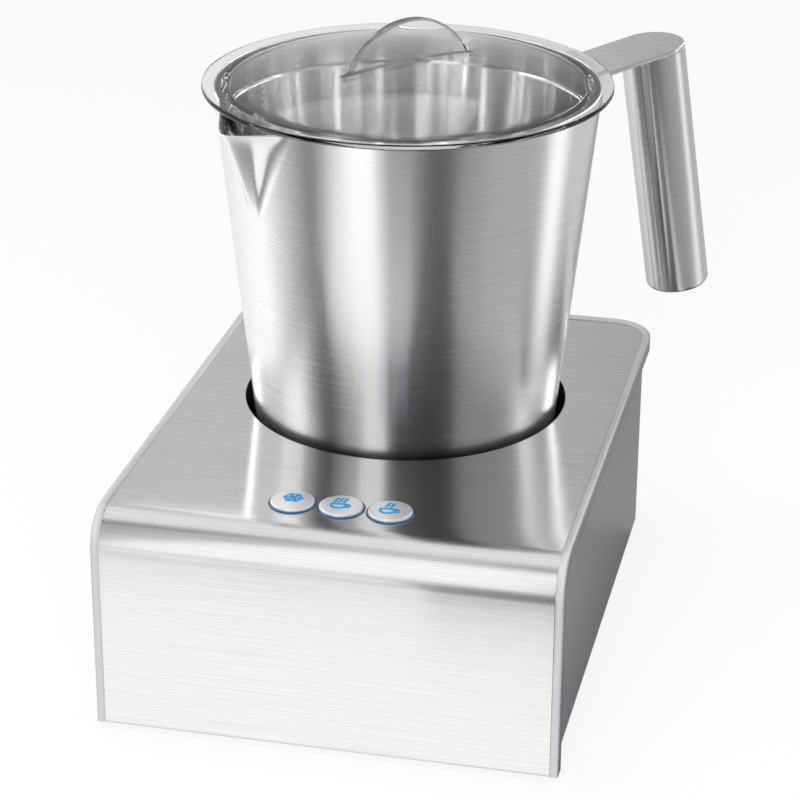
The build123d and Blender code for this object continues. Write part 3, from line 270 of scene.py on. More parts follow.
class Builder:
    """Turns patches and CAD nodes into finished pieces on their bodies."""

    def __init__(self, finishes: dict[str, "Finish"]) -> None:
        """Keep the finish of each material slot; each material is made once.

        Args:
            finishes: finish by slot name of the record.
        """
        self.finishes = finishes
        self.made: dict[str, bpy.types.Material] = {}

    def material(self, finish: "Finish") -> bpy.types.Material:
        """The material of a finish, made at its first use.

        Args:
            finish: the finish.

        Returns:
            Its material.
        """
        if finish.name not in self.made:
            self.made[finish.name] = finish.build()
        return self.made[finish.name]

    def piece(
        self,
        name: str,
        patches: Sequence[Patch],
        body: str,
        slot: str,
        stands_for: Sequence[str] = (),
        finish: Optional["Finish"] = None,
        crease: float = 35.0,
        wall: float = 0.0,
    ) -> bpy.types.Object:
        """Make one piece from patches that share their seams.

        Args:
            name: name of the piece.
            patches: its surfaces.
            body: CAD body that it rides on.
            slot: material slot of the record.
            stands_for: CAD nodes that it replaces.
            finish: finish other than the slot's own.
            crease: angle in degrees above which an edge stays sharp.
            wall: thickness that an open surface gets on its inner side.

        Returns:
            The finished object.
        """
        points = np.concatenate([patch.points.reshape(-1, 3) for patch in patches]) * MM
        uv = np.concatenate([patch.uv.reshape(-1, 2) for patch in patches]) * MM
        firsts = np.cumsum([0] + [patch.points[..., 0].size for patch in patches])
        quads = np.concatenate([p.faces(int(first)) for p, first in zip(patches, firsts)])
        mesh = bpy.data.meshes.new(name)
        mesh.vertices.add(len(points))
        mesh.vertices.foreach_set("co", points.ravel())
        mesh.loops.add(quads.size)
        mesh.loops.foreach_set("vertex_index", quads.ravel().astype(np.int32))
        mesh.polygons.add(len(quads))
        mesh.polygons.foreach_set("loop_start", np.arange(0, quads.size, 4, dtype=np.int32))
        layer = mesh.uv_layers.new(name=UV_NAME)
        layer.uv.foreach_set("vector", uv[quads.ravel()].ravel())
        mesh.update(calc_edges=True)
        mesh.validate()
        obj = self.settle(name, mesh, body, slot, stands_for, finish, crease, wall == 0.0)
        if wall:
            sheet = obj.modifiers.new("sheet_thickness", "SOLIDIFY")
            sheet.thickness = wall * MM
            sheet.offset = -1.0
        return obj

    def copy(self, node: str, body: str, slot: str, crease: float = 30.0) -> bpy.types.Object:
        """A smooth-shaded copy of a rigid CAD node that stands for it.

        Args:
            node: name of the CAD node.
            body: body that it rides on.
            slot: material slot of the record.
            crease: angle in degrees above which an edge stays sharp.

        Returns:
            The finished object.
        """
        mesh = frame["nodes"][node].data.copy()
        obj = self.settle(f"{node}_dressed", mesh, body, slot, [node], None, crease, False)
        even = obj.modifiers.new("flat_faces_stay_flat", "WEIGHTED_NORMAL")
        even.keep_sharp = True
        return obj

    def settle(
        self,
        name: str,
        mesh: bpy.types.Mesh,
        body: str,
        slot: str,
        stands_for: Sequence[str],
        finish: Optional["Finish"],
        crease: float,
        closed: bool,
    ) -> bpy.types.Object:
        """Weld a mesh, shade it, give it its finish and put it on its body.

        Args:
            name: name of the piece.
            mesh: its mesh, in place.
            body: CAD body that it rides on.
            slot: material slot of the record.
            stands_for: CAD nodes that it replaces.
            finish: finish other than the slot's own.
            crease: angle in degrees above which an edge stays sharp.
            closed: whether its faces are turned outwards as a closed shell.

        Returns:
            The finished object.
        """
        work = bmesh.new()
        work.from_mesh(mesh)
        bmesh.ops.remove_doubles(work, verts=work.verts, dist=WELD_MM * MM)
        if closed:
            bmesh.ops.recalc_face_normals(work, faces=work.faces)
        work.edges.index_update()
        open_edges = [edge.index for edge in work.edges if edge.is_boundary]
        work.to_mesh(mesh)
        work.free()
        mesh.polygons.foreach_set("use_smooth", np.ones(len(mesh.polygons), dtype=bool))
        mesh.set_sharp_from_angle(angle=math.radians(crease))
        sharp = np.zeros(len(mesh.edges), dtype=bool)
        mesh.edges.foreach_get("use_edge_sharp", sharp)
        sharp[open_edges] = True
        mesh.edges.foreach_set("use_edge_sharp", sharp)
        mesh.materials.clear()
        mesh.materials.append(self.material(finish or self.finishes[slot]))
        obj = bpy.data.objects.new(name, mesh)
        bpy.context.scene.collection.objects.link(obj)
        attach(obj, body)
        if stands_for:
            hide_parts(*stands_for)
        log.info("piece %s: %d faces", name, len(mesh.polygons))
        return obj


@dataclass(frozen=True)
class Finish:
    """A plain surface: one colour with a fine grain in its gloss."""

    name: str
    colour: str
    roughness: float = 0.5
    metallic: float = 0.0
    grain_mm: float = 0.4
    grain_depth: float = 0.0
    gloss_spread: float = 0.06

    def start(self) -> tuple[bpy.types.Material, bpy.types.NodeTree, bpy.types.Node]:
        """Make the material with its shader.

        Returns:
            The material, its node tree and its shader node.
        """
        material = bpy.data.materials.new(self.name)
        material.use_nodes = True
        tree = material.node_tree
        tree.nodes.clear()
        shader = add_node(tree, "ShaderNodeBsdfPrincipled", inputs={
            "Base Color": linear(self.colour),
            "Roughness": self.roughness,
            "Metallic": self.metallic,
        })
        add_node(tree, "ShaderNodeOutputMaterial", inputs={"Surface": shader.outputs["BSDF"]})
        return material, tree, shader

    def build(self) -> bpy.types.Material:
        """Noise the size of the grain varies the gloss and, where asked, the relief.

        Returns:
            The material.
        """
        material, tree, shader = self.start()
        place = add_node(tree, "ShaderNodeTexCoord")
        grain = add_node(tree, "ShaderNodeTexNoise", inputs={
            "Vector": place.outputs["Object"],
            "Scale": 1.0 / (self.grain_mm * MM),
            "Detail": 2.0,
        })
        gloss = add_node(tree, "ShaderNodeMapRange", inputs={
            "Value": grain.outputs["Fac"],
            "To Min": self.roughness - self.gloss_spread,
            "To Max": self.roughness + self.gloss_spread,
        })
        tree.links.new(gloss.outputs["Result"], shader.inputs["Roughness"])
        if self.grain_depth:
            relief = add_node(tree, "ShaderNodeBump", inputs={
                "Height": grain.outputs["Fac"],
                "Strength": self.grain_depth,
                "Distance": self.grain_mm * MM * RELIEF_SHARE,
            })
            tree.links.new(relief.outputs["Normal"], shader.inputs["Normal"])
        return material


@dataclass(frozen=True)
class BrushedSteel(Finish):
    """Steel brushed one way: fine long lines, and highlights drawn out across them."""

    metallic: float = 1.0
    line_mm: tuple[float, float, float] = (60.0, 0.3, 0.3)
    shade: str = "#9a9a9a"
    spread: float = 0.05
    anisotropy: float = 0.7
    polish: Optional[float] = None
    polish_fade_mm: float = 2.0

    def build(self) -> bpy.types.Material:
        """Noise stretched along the brushing varies the tone and the gloss from line to line.

        Where the finish has a polished side, that side is where the UV map's v is above zero.

        Returns:
            The material.
        """
        material, tree, shader = self.start()
        place = add_node(tree, "ShaderNodeTexCoord")
        stretched = add_node(tree, "ShaderNodeMapping", inputs={
            "Vector": place.outputs["Object"],
            "Scale": [1.0 / (size * MM) for size in self.line_mm],
        })
        lines = add_node(tree, "ShaderNodeTexNoise", inputs={
            "Vector": stretched.outputs["Vector"],
            "Scale": 1.0,
            "Detail": 3.0,
            "Roughness": 0.65,
        })
        gloss = add_node(tree, "ShaderNodeMapRange", inputs={
            "Value": lines.outputs["Fac"],
            "From Min": 0.25,
            "From Max": 0.75,
            "To Min": self.roughness - self.spread,
            "To Max": self.roughness + self.spread,
        })
        tone = add_node(tree, "ShaderNodeValToRGB", inputs={"Fac": lines.outputs["Fac"]})
        tone.color_ramp.elements[0].position = 0.3
        tone.color_ramp.elements[0].color = linear(self.shade)
        tone.color_ramp.elements[1].position = 0.7
        tone.color_ramp.elements[1].color = linear(self.colour)
        tree.links.new(gloss.outputs["Result"], shader.inputs["Roughness"])
        tree.links.new(tone.outputs["Color"], shader.inputs["Base Color"])
        if self.polish is not None:
            surface = add_node(tree, "ShaderNodeUVMap", {"uv_map": UV_NAME})
            run = add_node(tree, "ShaderNodeSeparateXYZ", inputs={"Vector": surface.outputs["UV"]})
            sides = add_node(tree, "ShaderNodeMapRange", inputs={
                "Value": run.outputs["Y"],
                "From Min": 0.0,
                "From Max": self.polish_fade_mm * MM,
                "To Min": gloss.outputs["Result"],
                "To Max": self.polish,
            })
            tree.links.new(sides.outputs["Result"], shader.inputs["Roughness"])
        if self.anisotropy:
            along = add_node(tree, "ShaderNodeTangent", {"direction_type": "UV_MAP", "uv_map": UV_NAME})
            tree.links.new(along.outputs["Tangent"], shader.inputs["Tangent"])
            shader.inputs["Anisotropic"].default_value = self.anisotropy
            shader.inputs["Anisotropic Rotation"].default_value = ACROSS_THE_LINES
        return material


@dataclass(frozen=True)
class ClearPlastic(Finish):
    """Clear moulded plastic, smooth on both sides."""

    ior: float = 1.49
    bend: float = 1.15
    skin: float = 0.22

    def build(self) -> bpy.types.Material:
        """Full transmission that bends the view little, as thin walls do, under a glossy skin.

        Returns:
            The material.
        """
        material, _, shader = self.start()
        shader.inputs["Transmission Weight"].default_value = 1.0
        shader.inputs["IOR"].default_value = self.bend
        shader.inputs["Coat Weight"].default_value = self.skin
        shader.inputs["Coat Roughness"].default_value = self.roughness
        shader.inputs["Coat IOR"].default_value = self.ior
        return material


@dataclass(frozen=True)
class LitPlastic(Finish):
    """Tinted plastic that a lamp behind it lights a little."""

    glow: float = 0.1

    def build(self) -> bpy.types.Material:
        """The plain colour with a weak glow of the same colour.

        Returns:
            The material.
        """
        material, _, shader = self.start()
        shader.inputs["Emission Color"].default_value = linear(self.colour)
        shader.inputs["Emission Strength"].default_value = self.glow
        return material


# Finishes by material slot; each says what the real material gives the eye
FINISHES: dict[str, Finish] = {
    # Silver-filled ABS, moulded: an even satin grey with soft, wide highlights
    "silver_abs": Finish(
        "silver_abs_moulded", "#b9bbbd", 0.42, metallic=0.1, grain_mm=0.5, grain_depth=0.1,
    ),
    # Stainless sheet brushed from side to side: long lines and streaks drawn towards the viewer
    "sheet_steel": BrushedSteel(
        "stainless_sheet_brushed", "#cbcbcb", 0.17, line_mm=(50.0, 0.22, 0.22), shade="#bababa",
        spread=0.03, anisotropy=0.9,
    ),
    # Heat-resistant plastic, moulded with a fine grain: near black, faint sheen
    "black_plastic": Finish("black_pbt_fine_grain", "#141415", 0.55, grain_mm=0.6, grain_depth=0.2),
    # Moulded rubber: dull black
    "rubber": Finish("black_rubber_moulded", "#121212", 0.85, grain_mm=0.8, grain_depth=0.2),
    # Zinc-plated steel: bluish grey, half bright
    "screw_steel": Finish("zinc_plated_steel", "#a9abae", 0.35, metallic=1.0),
    # Enamelled copper strands: warm and glossy
    "copper_wire": Finish(
        "enamelled_copper_litz", "#b8693a", 0.35, metallic=1.0, grain_mm=0.3, grain_depth=0.5,
    ),
    # Pressed and sintered ferrite: dark grey, chalky
    "ferrite": Finish("sintered_ferrite", "#38383a", 0.8, grain_mm=0.3, grain_depth=0.3),
    # Drawn steel cap: plain bright metal
    "sensor_steel": Finish("drawn_steel_cap", "#b5b5b5", 0.3, metallic=1.0),
    # Zinc-plated drawn steel: half bright, cool
    "motor_steel": Finish("zinc_plated_drawn_steel", "#aeb0b2", 0.35, metallic=1.0),
    # Acetal, moulded: milky white with a soft sheen
    "white_plastic": Finish("white_acetal", "#e4e3df", 0.45),
    # Nickel-plated magnet: bright and warm
    "magnet": Finish("nickel_plated_magnet", "#c6c4bf", 0.15, metallic=1.0),
    # Glass-fibre board under green solder mask: glossy green
    "circuit_board": Finish("green_solder_mask", "#1d6a3c", 0.35, grain_mm=0.5, grain_depth=0.1),
    # Extruded aluminium: pale satin metal
    "aluminium": Finish("extruded_aluminium", "#c3c4c6", 0.4, metallic=1.0),
    # Plastic with silver paint: pale satin, hardly any colour
    "button_silver": Finish("silver_painted_plastic", "#d6d6d8", 0.3, metallic=0.45, grain_mm=0.25),
    # Blue-tinted clear plastic, lit from behind: a thin dark blue ring
    "blue_light": LitPlastic("blue_tinted_plastic", "#14506f", 0.25, glow=0.05),
    # Stainless jug, brushed round its axis: upright light and dark bands with fine level lines,
    # and thin bright streaks on the polished inside
    "jug_steel": BrushedSteel(
        "stainless_jug_brushed", "#e8e8e8", 0.25, line_mm=(40.0, 40.0, 0.22), shade="#dadada",
        spread=0.03, anisotropy=0.95, polish=0.12,
    ),
    # Stainless handle, satin polished: sharper stripes and hardly any lines
    "handle_steel": BrushedSteel(
        "stainless_handle_satin", "#cfcfcf", 0.2, line_mm=(30.0, 30.0, 0.2), shade="#c6c6c6",
        spread=0.02, anisotropy=0.85,
    ),
    # Black plastic, moulded: dark with a soft sheen
    "whisk_plastic": Finish("black_pom_moulded", "#1a1a1b", 0.4),
    # Clear styrene plastic, polished mould: bright edges, hardly any tint
    "clear_lid": ClearPlastic("clear_san_moulded", "#ffffff", 0.02),
}


# Pad-printed ink: flat, clear blue
SIGN_INK = Finish("blue_pad_print", "#0094cf", 0.45, gloss_spread=0.03)


@dataclass
class CoverSheet:
    """One steel sheet: back to front over the top, round the bend and down the front."""

    back_y: float = 89.25
    half_width: float = 67.45
    back_corner: float = 10.25
    bend_radius: float = 11.65
    lead_in: float = 10.0
    lead_slope: float = 3.0
    thickness: float = 0.8
    well_radius: float = 51.2
    well_square: float = 56.0
    hole_radius: float = 7.2
    button_pitch: float = 14.7
    button_y: float = -70.3
    coarse: float = 2.8
    fine: float = 1.225
    bend_steps: int = 32
    corner_steps: int = 16
    front_steps: int = 16
    well_rings: int = 6
    button_rings: int = 3

    def __post_init__(self) -> None:
        """Take the outer planes and the well's centre from the frame."""
        low, high = box_mm("cover_sheet")
        self.top_z = float(high[2])
        self.low_z = float(low[2])
        self.front_y = float(low[1])
        well_low, well_high = box_mm("well_cup")
        self.well_y = float(well_low[1] + well_high[1]) / 2

    def samples(self, marks: Sequence[float], fine_between: tuple[float, float]) -> np.ndarray:
        """Grid lines through the given marks, finer in one stretch.

        Args:
            marks: values that have to be grid lines, rising.
            fine_between: the stretch with the finer spacing.

        Returns:
            All the grid lines.
        """
        low, high = fine_between
        parts = []
        for start, end in zip(marks[:-1], marks[1:]):
            step = self.fine if low <= start and end <= high else self.coarse
            count = max(1, round((end - start) / step))
            parts.append(np.linspace(start, end, count + 1)[:-1])
        return np.concatenate(parts + [np.array(marks[-1:])])

    def along_front(self, run: np.ndarray) -> tuple[np.ndarray, np.ndarray]:
        """Y and Z at a run measured from the bend's upper end.

        The bend is an arc from the lead-in's slope to upright, and the front goes straight down.

        Args:
            run: length along the sheet.

        Returns:
            Both coordinates of each point.
        """
        slope = math.radians(self.lead_slope)
        radius = self.bend_radius / (1 - math.sin(slope))
        angle = np.minimum(slope + run / radius, math.pi / 2)
        down = np.maximum(0.0, run - self.bend_length())
        y = self.front_y + radius * (1 - np.sin(angle))
        z = self.level(y) - radius * (math.cos(slope) - np.cos(angle)) - down
        return y, z

    def bend_length(self) -> float:
        """Length of the bend's arc."""
        slope = math.radians(self.lead_slope)
        return self.bend_radius / (1 - math.sin(slope)) * (math.pi / 2 - slope)

    def level(self, y: np.ndarray) -> np.ndarray:
        """Height of the top: level, then falling as a parabola over the lead-in to the bend.

        Args:
            y: place along the base.

        Returns:
            The height at each place.
        """
        start = self.front_y + self.bend_radius + self.lead_in
        fall = np.clip(start - y, 0.0, self.lead_in)
        return self.top_z - math.tan(math.radians(self.lead_slope)) * fall**2 / (2 * self.lead_in)

    def flat(self, x: np.ndarray, y: np.ndarray) -> Patch:
        """A patch of the level top; behind the corners' start its width follows their arcs.

        Args:
            x: grid of places across the sheet.
            y: grid of places along it.

        Returns:
            The patch.
        """
        start = self.back_y - self.back_corner
        arc = np.sqrt(np.maximum(0.0, self.back_corner**2 - np.maximum(0.0, y - start) ** 2))
        squeeze = (self.half_width - self.back_corner + arc) / self.half_width
        points = np.stack([x * squeeze, y, self.level(y)], axis=2)
        return Patch(points, np.stack([x, -y], axis=2))

    def around_hole(self, lines: tuple[np.ndarray, np.ndarray], centre: tuple[float, float],
                    radius: float, rings: int) -> Patch:
        """The ring-shaped patch between a square of grid lines and a round hole in it.

        Args:
            lines: grid lines in X and in Y that bound the square, its sides included.
            centre: middle of the hole.
            radius: radius of the hole.
            rings: number of steps between hole and square.

        Returns:
            The patch, each of its spokes straight from the hole to the square.
        """
        x, y = lines
        edge_x = np.concatenate([x[:-1], np.full(len(y) - 1, x[-1]), x[:0:-1], np.full(len(y), x[0])])
        edge_y = np.concatenate([np.full(len(x) - 1, y[0]), y[:-1], np.full(len(x) - 1, y[-1]), y[::-1]])
        out_x = edge_x - centre[0]
        out_y = edge_y - centre[1]
        reach = np.hypot(out_x, out_y)
        share = np.linspace(1.0, 0.0, rings + 1)[:, None]
        length = radius + (reach - radius) * share
        return self.flat(centre[0] + out_x / reach * length, centre[1] + out_y / reach * length)

    def patches(self) -> list[Patch]:
        """All patches of the outer face.

        Returns:
            Level bands, rings round the holes, the bend and the front.
        """
        half_pitch = self.button_pitch / 2
        row = 3 * half_pitch
        square = self.well_square
        x_marks = [-self.half_width, -square, -row, -half_pitch, half_pitch, row, square, self.half_width]
        y_marks = [
            self.front_y + self.bend_radius,
            self.button_y - half_pitch,
            self.button_y + half_pitch,
            self.well_y - square,
            self.well_y + square,
            self.back_y - self.back_corner,
        ]
        x = self.samples(x_marks, (-row, row))
        y = self.samples(y_marks, (y_marks[1], y_marks[2]))
        corner = np.linspace(0.0, math.pi / 2, self.corner_steps + 1)[1:]
        y = np.concatenate([y, y_marks[-1] + self.back_corner * np.sin(corner)])

        def band(
            x_range: tuple[float, float], y_range: tuple[float, float],
        ) -> tuple[np.ndarray, np.ndarray]:
            """The grid lines inside two ranges, ends included.

            Args:
                x_range: lowest and highest X.
                y_range: lowest and highest Y.

            Returns:
                The lines in X and in Y.
            """
            slack = 1e-6
            in_x = x[(x >= x_range[0] - slack) & (x <= x_range[1] + slack)]
            in_y = y[(y >= y_range[0] - slack) & (y <= y_range[1] + slack)]
            return in_x, in_y

        full = (-self.half_width, self.half_width)
        plain = [
            (full, (y_marks[0], y_marks[1])),
            ((-self.half_width, -row), (y_marks[1], y_marks[2])),
            ((row, self.half_width), (y_marks[1], y_marks[2])),
            (full, (y_marks[2], y_marks[3])),
            ((-self.half_width, -square), (y_marks[3], y_marks[4])),
            ((square, self.half_width), (y_marks[3], y_marks[4])),
            (full, (y_marks[4], self.back_y)),
        ]
        result = [self.flat(*np.meshgrid(*band(*ranges))) for ranges in plain]
        well = band((-square, square), (y_marks[3], y_marks[4]))
        result.append(self.around_hole(well, (0.0, self.well_y), self.well_radius, self.well_rings))
        for place in (-1, 0, 1):
            middle = place * self.button_pitch
            lines = band((middle - half_pitch, middle + half_pitch), (y_marks[1], y_marks[2]))
            spot = (middle, self.button_y)
            result.append(self.around_hole(lines, spot, self.hole_radius, self.button_rings))
        bend = np.linspace(0.0, self.bend_length(), self.bend_steps + 1)
        down = float(self.along_front(bend[-1:])[1][0]) - self.low_z
        run = np.concatenate([bend, bend[-1] + np.linspace(0.0, down, self.front_steps + 1)[1:]])[::-1]
        front_y, front_z = self.along_front(run)
        across = np.broadcast_to(x, (len(run), len(x)))
        points = np.stack(np.broadcast_arrays(across, front_y[:, None], front_z[:, None]), axis=2)
        uv = np.stack([across, np.broadcast_to((run - y_marks[0])[:, None], across.shape)], axis=2)
        result.append(Patch(points, uv))
        return result

    def build(self, builder: Builder) -> None:
        """Make the sheet."""
        builder.piece("sheet_brushed", self.patches(), Body.BASE.value, "sheet_steel",
                      ["cover_sheet"], wall=self.thickness)


@dataclass
class PushButton:
    """A domed button cap with a raised blue sign."""

    sign: Sign
    crown: float = 0.35
    edge: float = 0.5
    radius: float = 6.6
    stroke: float = 0.9
    sign_back: float = 0.9
    ink_height: float = 0.05
    ink_root: float = 0.1
    stem: float = 2.0
    turn_steps: int = 96
    arm_root: float = 0.2
    arm_length: float = 2.8
    fork: float = 1.6
    branch: float = 1.0
    branch_lean: float = 50.0
    bowl_centre: tuple[float, float] = (-0.6, -1.7)
    bowl_size: tuple[float, float] = (2.2, 2.0)
    bowl_arc: tuple[float, float] = (160.0, 380.0)
    grip_centre: tuple[float, float] = (1.7, -1.8)
    grip_size: tuple[float, float] = (1.0, 0.9)
    grip_arc: tuple[float, float] = (-115.0, 115.0)
    steam_foot: float = 0.2
    steam_height: float = 2.6
    steam_lean: float = 0.7
    steam_wave: float = 0.15

    def __post_init__(self) -> None:
        """Take the cap's place from the frame."""
        low, high = box_mm(f"button_{self.sign.value}")
        self.centre = (low + high) / 2
        self.top_z = float(high[2])
        self.low_z = float(low[2])

    def crown_z(self, radius: np.ndarray) -> np.ndarray:
        """Height of the crowned top: a shallow bowl turned over, lowest at its edge."""
        return self.top_z - self.crown * (radius / (self.radius - self.edge)) ** 2

    def cap(self) -> Patch:
        """The cap above its stem: crown, rounded edge and wall, as one turned profile.

        Returns:
            The surface.
        """
        spread = np.linspace(0.0, self.radius - self.edge, 13)
        crown = np.stack([spread, self.crown_z(spread)], axis=1)[::-1]
        angle = np.linspace(0.0, math.pi / 2, 9)[:-1]
        ring = np.stack([
            self.radius - self.edge + self.edge * np.cos(angle),
            self.top_z - self.crown - self.edge + self.edge * np.sin(angle),
        ], axis=1)
        foot_z = self.low_z + self.stem
        foot = np.array([[0.0, foot_z], [self.radius, foot_z]])
        profile = np.concatenate([foot, ring, crown])
        return moved(turned(profile, full_turn(self.turn_steps)), np.eye(3), (*self.centre[:2], 0.0))

    def ink(self, line: np.ndarray) -> Patch:
        """A raised stroke with round ends that follows the crown.

        The half width is that of a circle at both ends and constant between them, and the sides
        go down into the cap.

        Args:
            line: points of the stroke from the button's centre.

        Returns:
            The stroke's surface.
        """
        half = self.stroke / 2
        lengths = np.linalg.norm(np.diff(line, axis=0), axis=1)
        along = np.concatenate([[0.0], np.cumsum(lengths)])
        ends = half * np.sin(np.linspace(-math.pi / 2, 0.0, 6))
        between = np.linspace(0.0, along[-1], max(5, 3 * len(line)))[1:-1]
        run = np.concatenate([ends, between, along[-1] - ends[::-1]])
        beyond = np.maximum(0.0, np.maximum(-run, run - along[-1]))
        width = np.sqrt(np.maximum(0.0, half**2 - beyond**2))
        inside = np.clip(run, 0.0, along[-1])
        spine = np.stack([np.interp(inside, along, line[:, axis]) for axis in (0, 1)], axis=1)
        ahead = np.gradient(spine, axis=0)
        ahead[run <= 0.0] = line[1] - line[0]
        ahead[run >= along[-1]] = line[-1] - line[-2]
        ahead /= np.linalg.norm(ahead, axis=1)[:, None]
        spine = spine + ahead * (run - inside)[:, None]
        left = np.stack([-ahead[:, 1], ahead[:, 0]], axis=1)
        across = np.array([1.0, 1.0, 0.5, 0.0, -0.5, -1.0, -1.0])
        lift = np.array([-self.ink_root, *[self.ink_height] * 5, -self.ink_root])
        flat = spine[:, None, :] + left[:, None, :] * (width[:, None] * across)[:, :, None]
        height = self.crown_z(np.hypot(flat[..., 0], flat[..., 1])) + lift
        points = np.concatenate([flat + self.centre[:2], height[..., None]], axis=2)
        return Patch(points, flat)

    def snowflake(self) -> list[np.ndarray]:
        """The lines of six arms, each with two short branches.

        Returns:
            One array of points for each stroke.
        """
        lines = []
        for angle in full_turn(6)[:-1]:
            arm = np.array([math.cos(angle), math.sin(angle)])
            lines.append(np.stack([arm * self.arm_root, arm * self.arm_length]))
            for lean in (-self.branch_lean, self.branch_lean):
                way = angle + math.radians(lean)
                tip = arm * self.fork + self.branch * np.array([math.cos(way), math.sin(way)])
                lines.append(np.stack([arm * self.fork, tip]))
        return lines

    def cup(self) -> list[np.ndarray]:
        """The lines of a bowl, its brim and grip, and wisps of steam that rise as one wave each.

        Returns:
            One array of points for each stroke.
        """
        bowl = oval(self.bowl_centre, self.bowl_size, self.bowl_arc, 24)
        brim = np.stack([bowl[0], bowl[-1]])
        grip = oval(self.grip_centre, self.grip_size, self.grip_arc, 12)
        rise = np.linspace(0.0, 1.0, 13)
        drift = self.steam_lean * rise + self.steam_wave * np.sin(2 * math.pi * rise)
        height = self.steam_foot + self.steam_height * rise
        steam = [np.stack([x + drift, height], axis=1) for x in STEAM_PLACES[self.sign]]
        return [bowl, brim, grip, *steam]

    def strokes(self) -> list[np.ndarray]:
        """The lines of this button's sign, in millimetres from its centre."""
        lines = self.snowflake() if self.sign is Sign.SNOWFLAKE else self.cup()
        return [line + np.array([0.0, self.sign_back]) for line in lines]

    def build(self, builder: Builder) -> None:
        """Make the cap and its sign.

        Args:
            builder: maker of the pieces.
        """
        node = f"button_{self.sign.value}"
        builder.piece(f"{node}_cap", [self.cap()], node, "button_silver", [node])
        signs = [self.ink(line) for line in self.strokes()]
        builder.piece(f"{node}_sign", signs, node, "blue_light", finish=SIGN_INK)


@dataclass
class Jug:
    """The tapered steel cup with its pressed spout."""

    rim_radius: float = 59.4
    taper: float = 0.106
    wall: float = 0.8
    bottom_round: float = 6.0
    lip_round: float = 0.38
    spout_azimuth: float = 228.0
    spout_reach: float = 67.4
    spout_half_angle: float = 16.5
    spout_root_angle: float = 3.0
    spout_root_z: float = 141.0
    spout_bite: float = 0.5
    spout_dip: float = 0.26
    dip_start: float = 5.4
    dip_height: float = 10.0
    tip_softness: float = 0.04
    crease_softness: float = 0.5
    dent_depth: float = 0.6
    dent_place: float = 0.9
    dent_width: float = 0.4
    row_height: float = 1.5
    fine_sector: float = 28.0
    fine_steps: int = 140
    coarse_steps: int = 176

    def __post_init__(self) -> None:
        """Take the axis, the floor and the rim from the frame."""
        plate_low, plate_high = box_mm("jug_base_plate")
        self.axis_y = float(plate_low[1] + plate_high[1]) / 2
        self.rim_z = float(box_mm("jug_body")[1][2])
        self.low_z = float(plate_high[2])

    def cone(self, z: np.ndarray) -> np.ndarray:
        """Outer radius of the plain cone at a height."""
        return self.rim_radius - self.taper * (self.rim_z - z)

    def swell(self, off: np.ndarray, z: np.ndarray) -> np.ndarray:
        """How far the spout stands out from the cone.

        The spout's level section is two nearly straight flanks from its tip to the cone, falling
        with the angle less a sag at mid flank. Tip and half angle grow evenly from the root to the
        rim. The tip is rounded by softening the angle, and the creases by a smooth maximum. Beside
        the spout the wall is drawn in a little, as pressing does, most at mid height.

        Args:
            off: angle from the spout's middle in radians.
            z: height of each point.

        Returns:
            Distance added to the cone's radius, below zero in the dent beside the spout.
        """
        rise = np.clip((z - self.spout_root_z) / (self.rim_z - self.spout_root_z), 0.0, 1.0)
        cone = self.cone(z)
        widening = self.spout_half_angle - self.spout_root_angle
        half = np.radians(self.spout_root_angle + widening * rise)
        reach = self.spout_reach - self.rim_radius + self.spout_bite
        lift = np.maximum(0.0, reach * rise - self.spout_bite)
        tip = cone + lift
        straight = tip * cone * np.sin(half) / ((tip + cone) * np.sin(half / 2))
        sag = (tip + cone) / 2 - straight
        softened = np.sqrt(off**2 + (self.tip_softness * rise) ** 2) - self.tip_softness * rise
        share = softened / half
        inside = np.minimum(share, 1.0)
        flank = lift * (1 - share) - 4 * sag * inside * (1 - inside)
        soft = self.crease_softness * np.minimum(1.0, lift / self.crease_softness) + 1e-9
        blend = np.clip(0.5 + 0.5 * flank / soft, 0.0, 1.0)
        beside = (np.abs(off) / half - self.dent_place) / self.dent_width
        dent = np.maximum(0.0, 1 - beside**2) ** 2 * 4 * rise * (1 - rise)
        return flank * blend + soft * blend * (1 - blend) - self.dent_depth * dent

    def angles(self) -> np.ndarray:
        """Angles of a full turn from the spout's middle, close together near the spout.

        Returns:
            The angles in radians, rising.
        """
        edge = self.fine_sector
        fine = np.linspace(-edge, edge, self.fine_steps + 1)
        coarse = np.linspace(edge, 360.0 - edge, self.coarse_steps + 1)[1:]
        return np.radians(np.concatenate([fine, coarse]))

    def shell(self) -> Patch:
        """The whole wall: floor, outside, lip and inside as one profile, swollen at the spout.

        The UV map's v runs along the profile and is zero at the lip, so it is above zero inside.

        Returns:
            The surface.
        """
        lip = self.lip_round
        floor_z = self.low_z + self.wall
        outer = float(self.cone(np.array(self.low_z)))
        inner = float(self.cone(np.array(floor_z))) - self.wall
        profile = rounded([
            (0.0, self.low_z, 0.0),
            (outer, self.low_z, self.bottom_round),
            (self.rim_radius, self.rim_z, lip),
            (self.rim_radius - self.wall, self.rim_z, lip),
            (inner, floor_z, self.bottom_round - self.wall),
            (0.0, floor_z, 0.0),
        ])
        profile = resampled(profile, self.row_height)
        turn = self.angles()
        patch = turned(profile, turn)
        radius = profile[:, 0, None]
        height = np.broadcast_to(profile[:, 1, None], patch.points.shape[:2])
        off = (turn + math.pi) % (2 * math.pi) - math.pi
        grown = radius + self.swell(off[None, :], height)
        run = grown * np.cos(off) - (self.rim_radius - self.dip_start)
        fade = np.clip(1 + (height - self.rim_z) / self.dip_height, 0.0, 1.0) ** 2
        dip = self.spout_dip * np.maximum(0.0, run) * fade
        azimuth = turn + math.radians(self.spout_azimuth)
        points = np.stack([
            grown * np.cos(azimuth), self.axis_y + grown * np.sin(azimuth), height - dip,
        ], axis=2)
        lip_run = patch.uv[int(np.argmax(profile[:, 1])), 0, 1]
        return Patch(points, patch.uv - np.array([0.0, lip_run]))

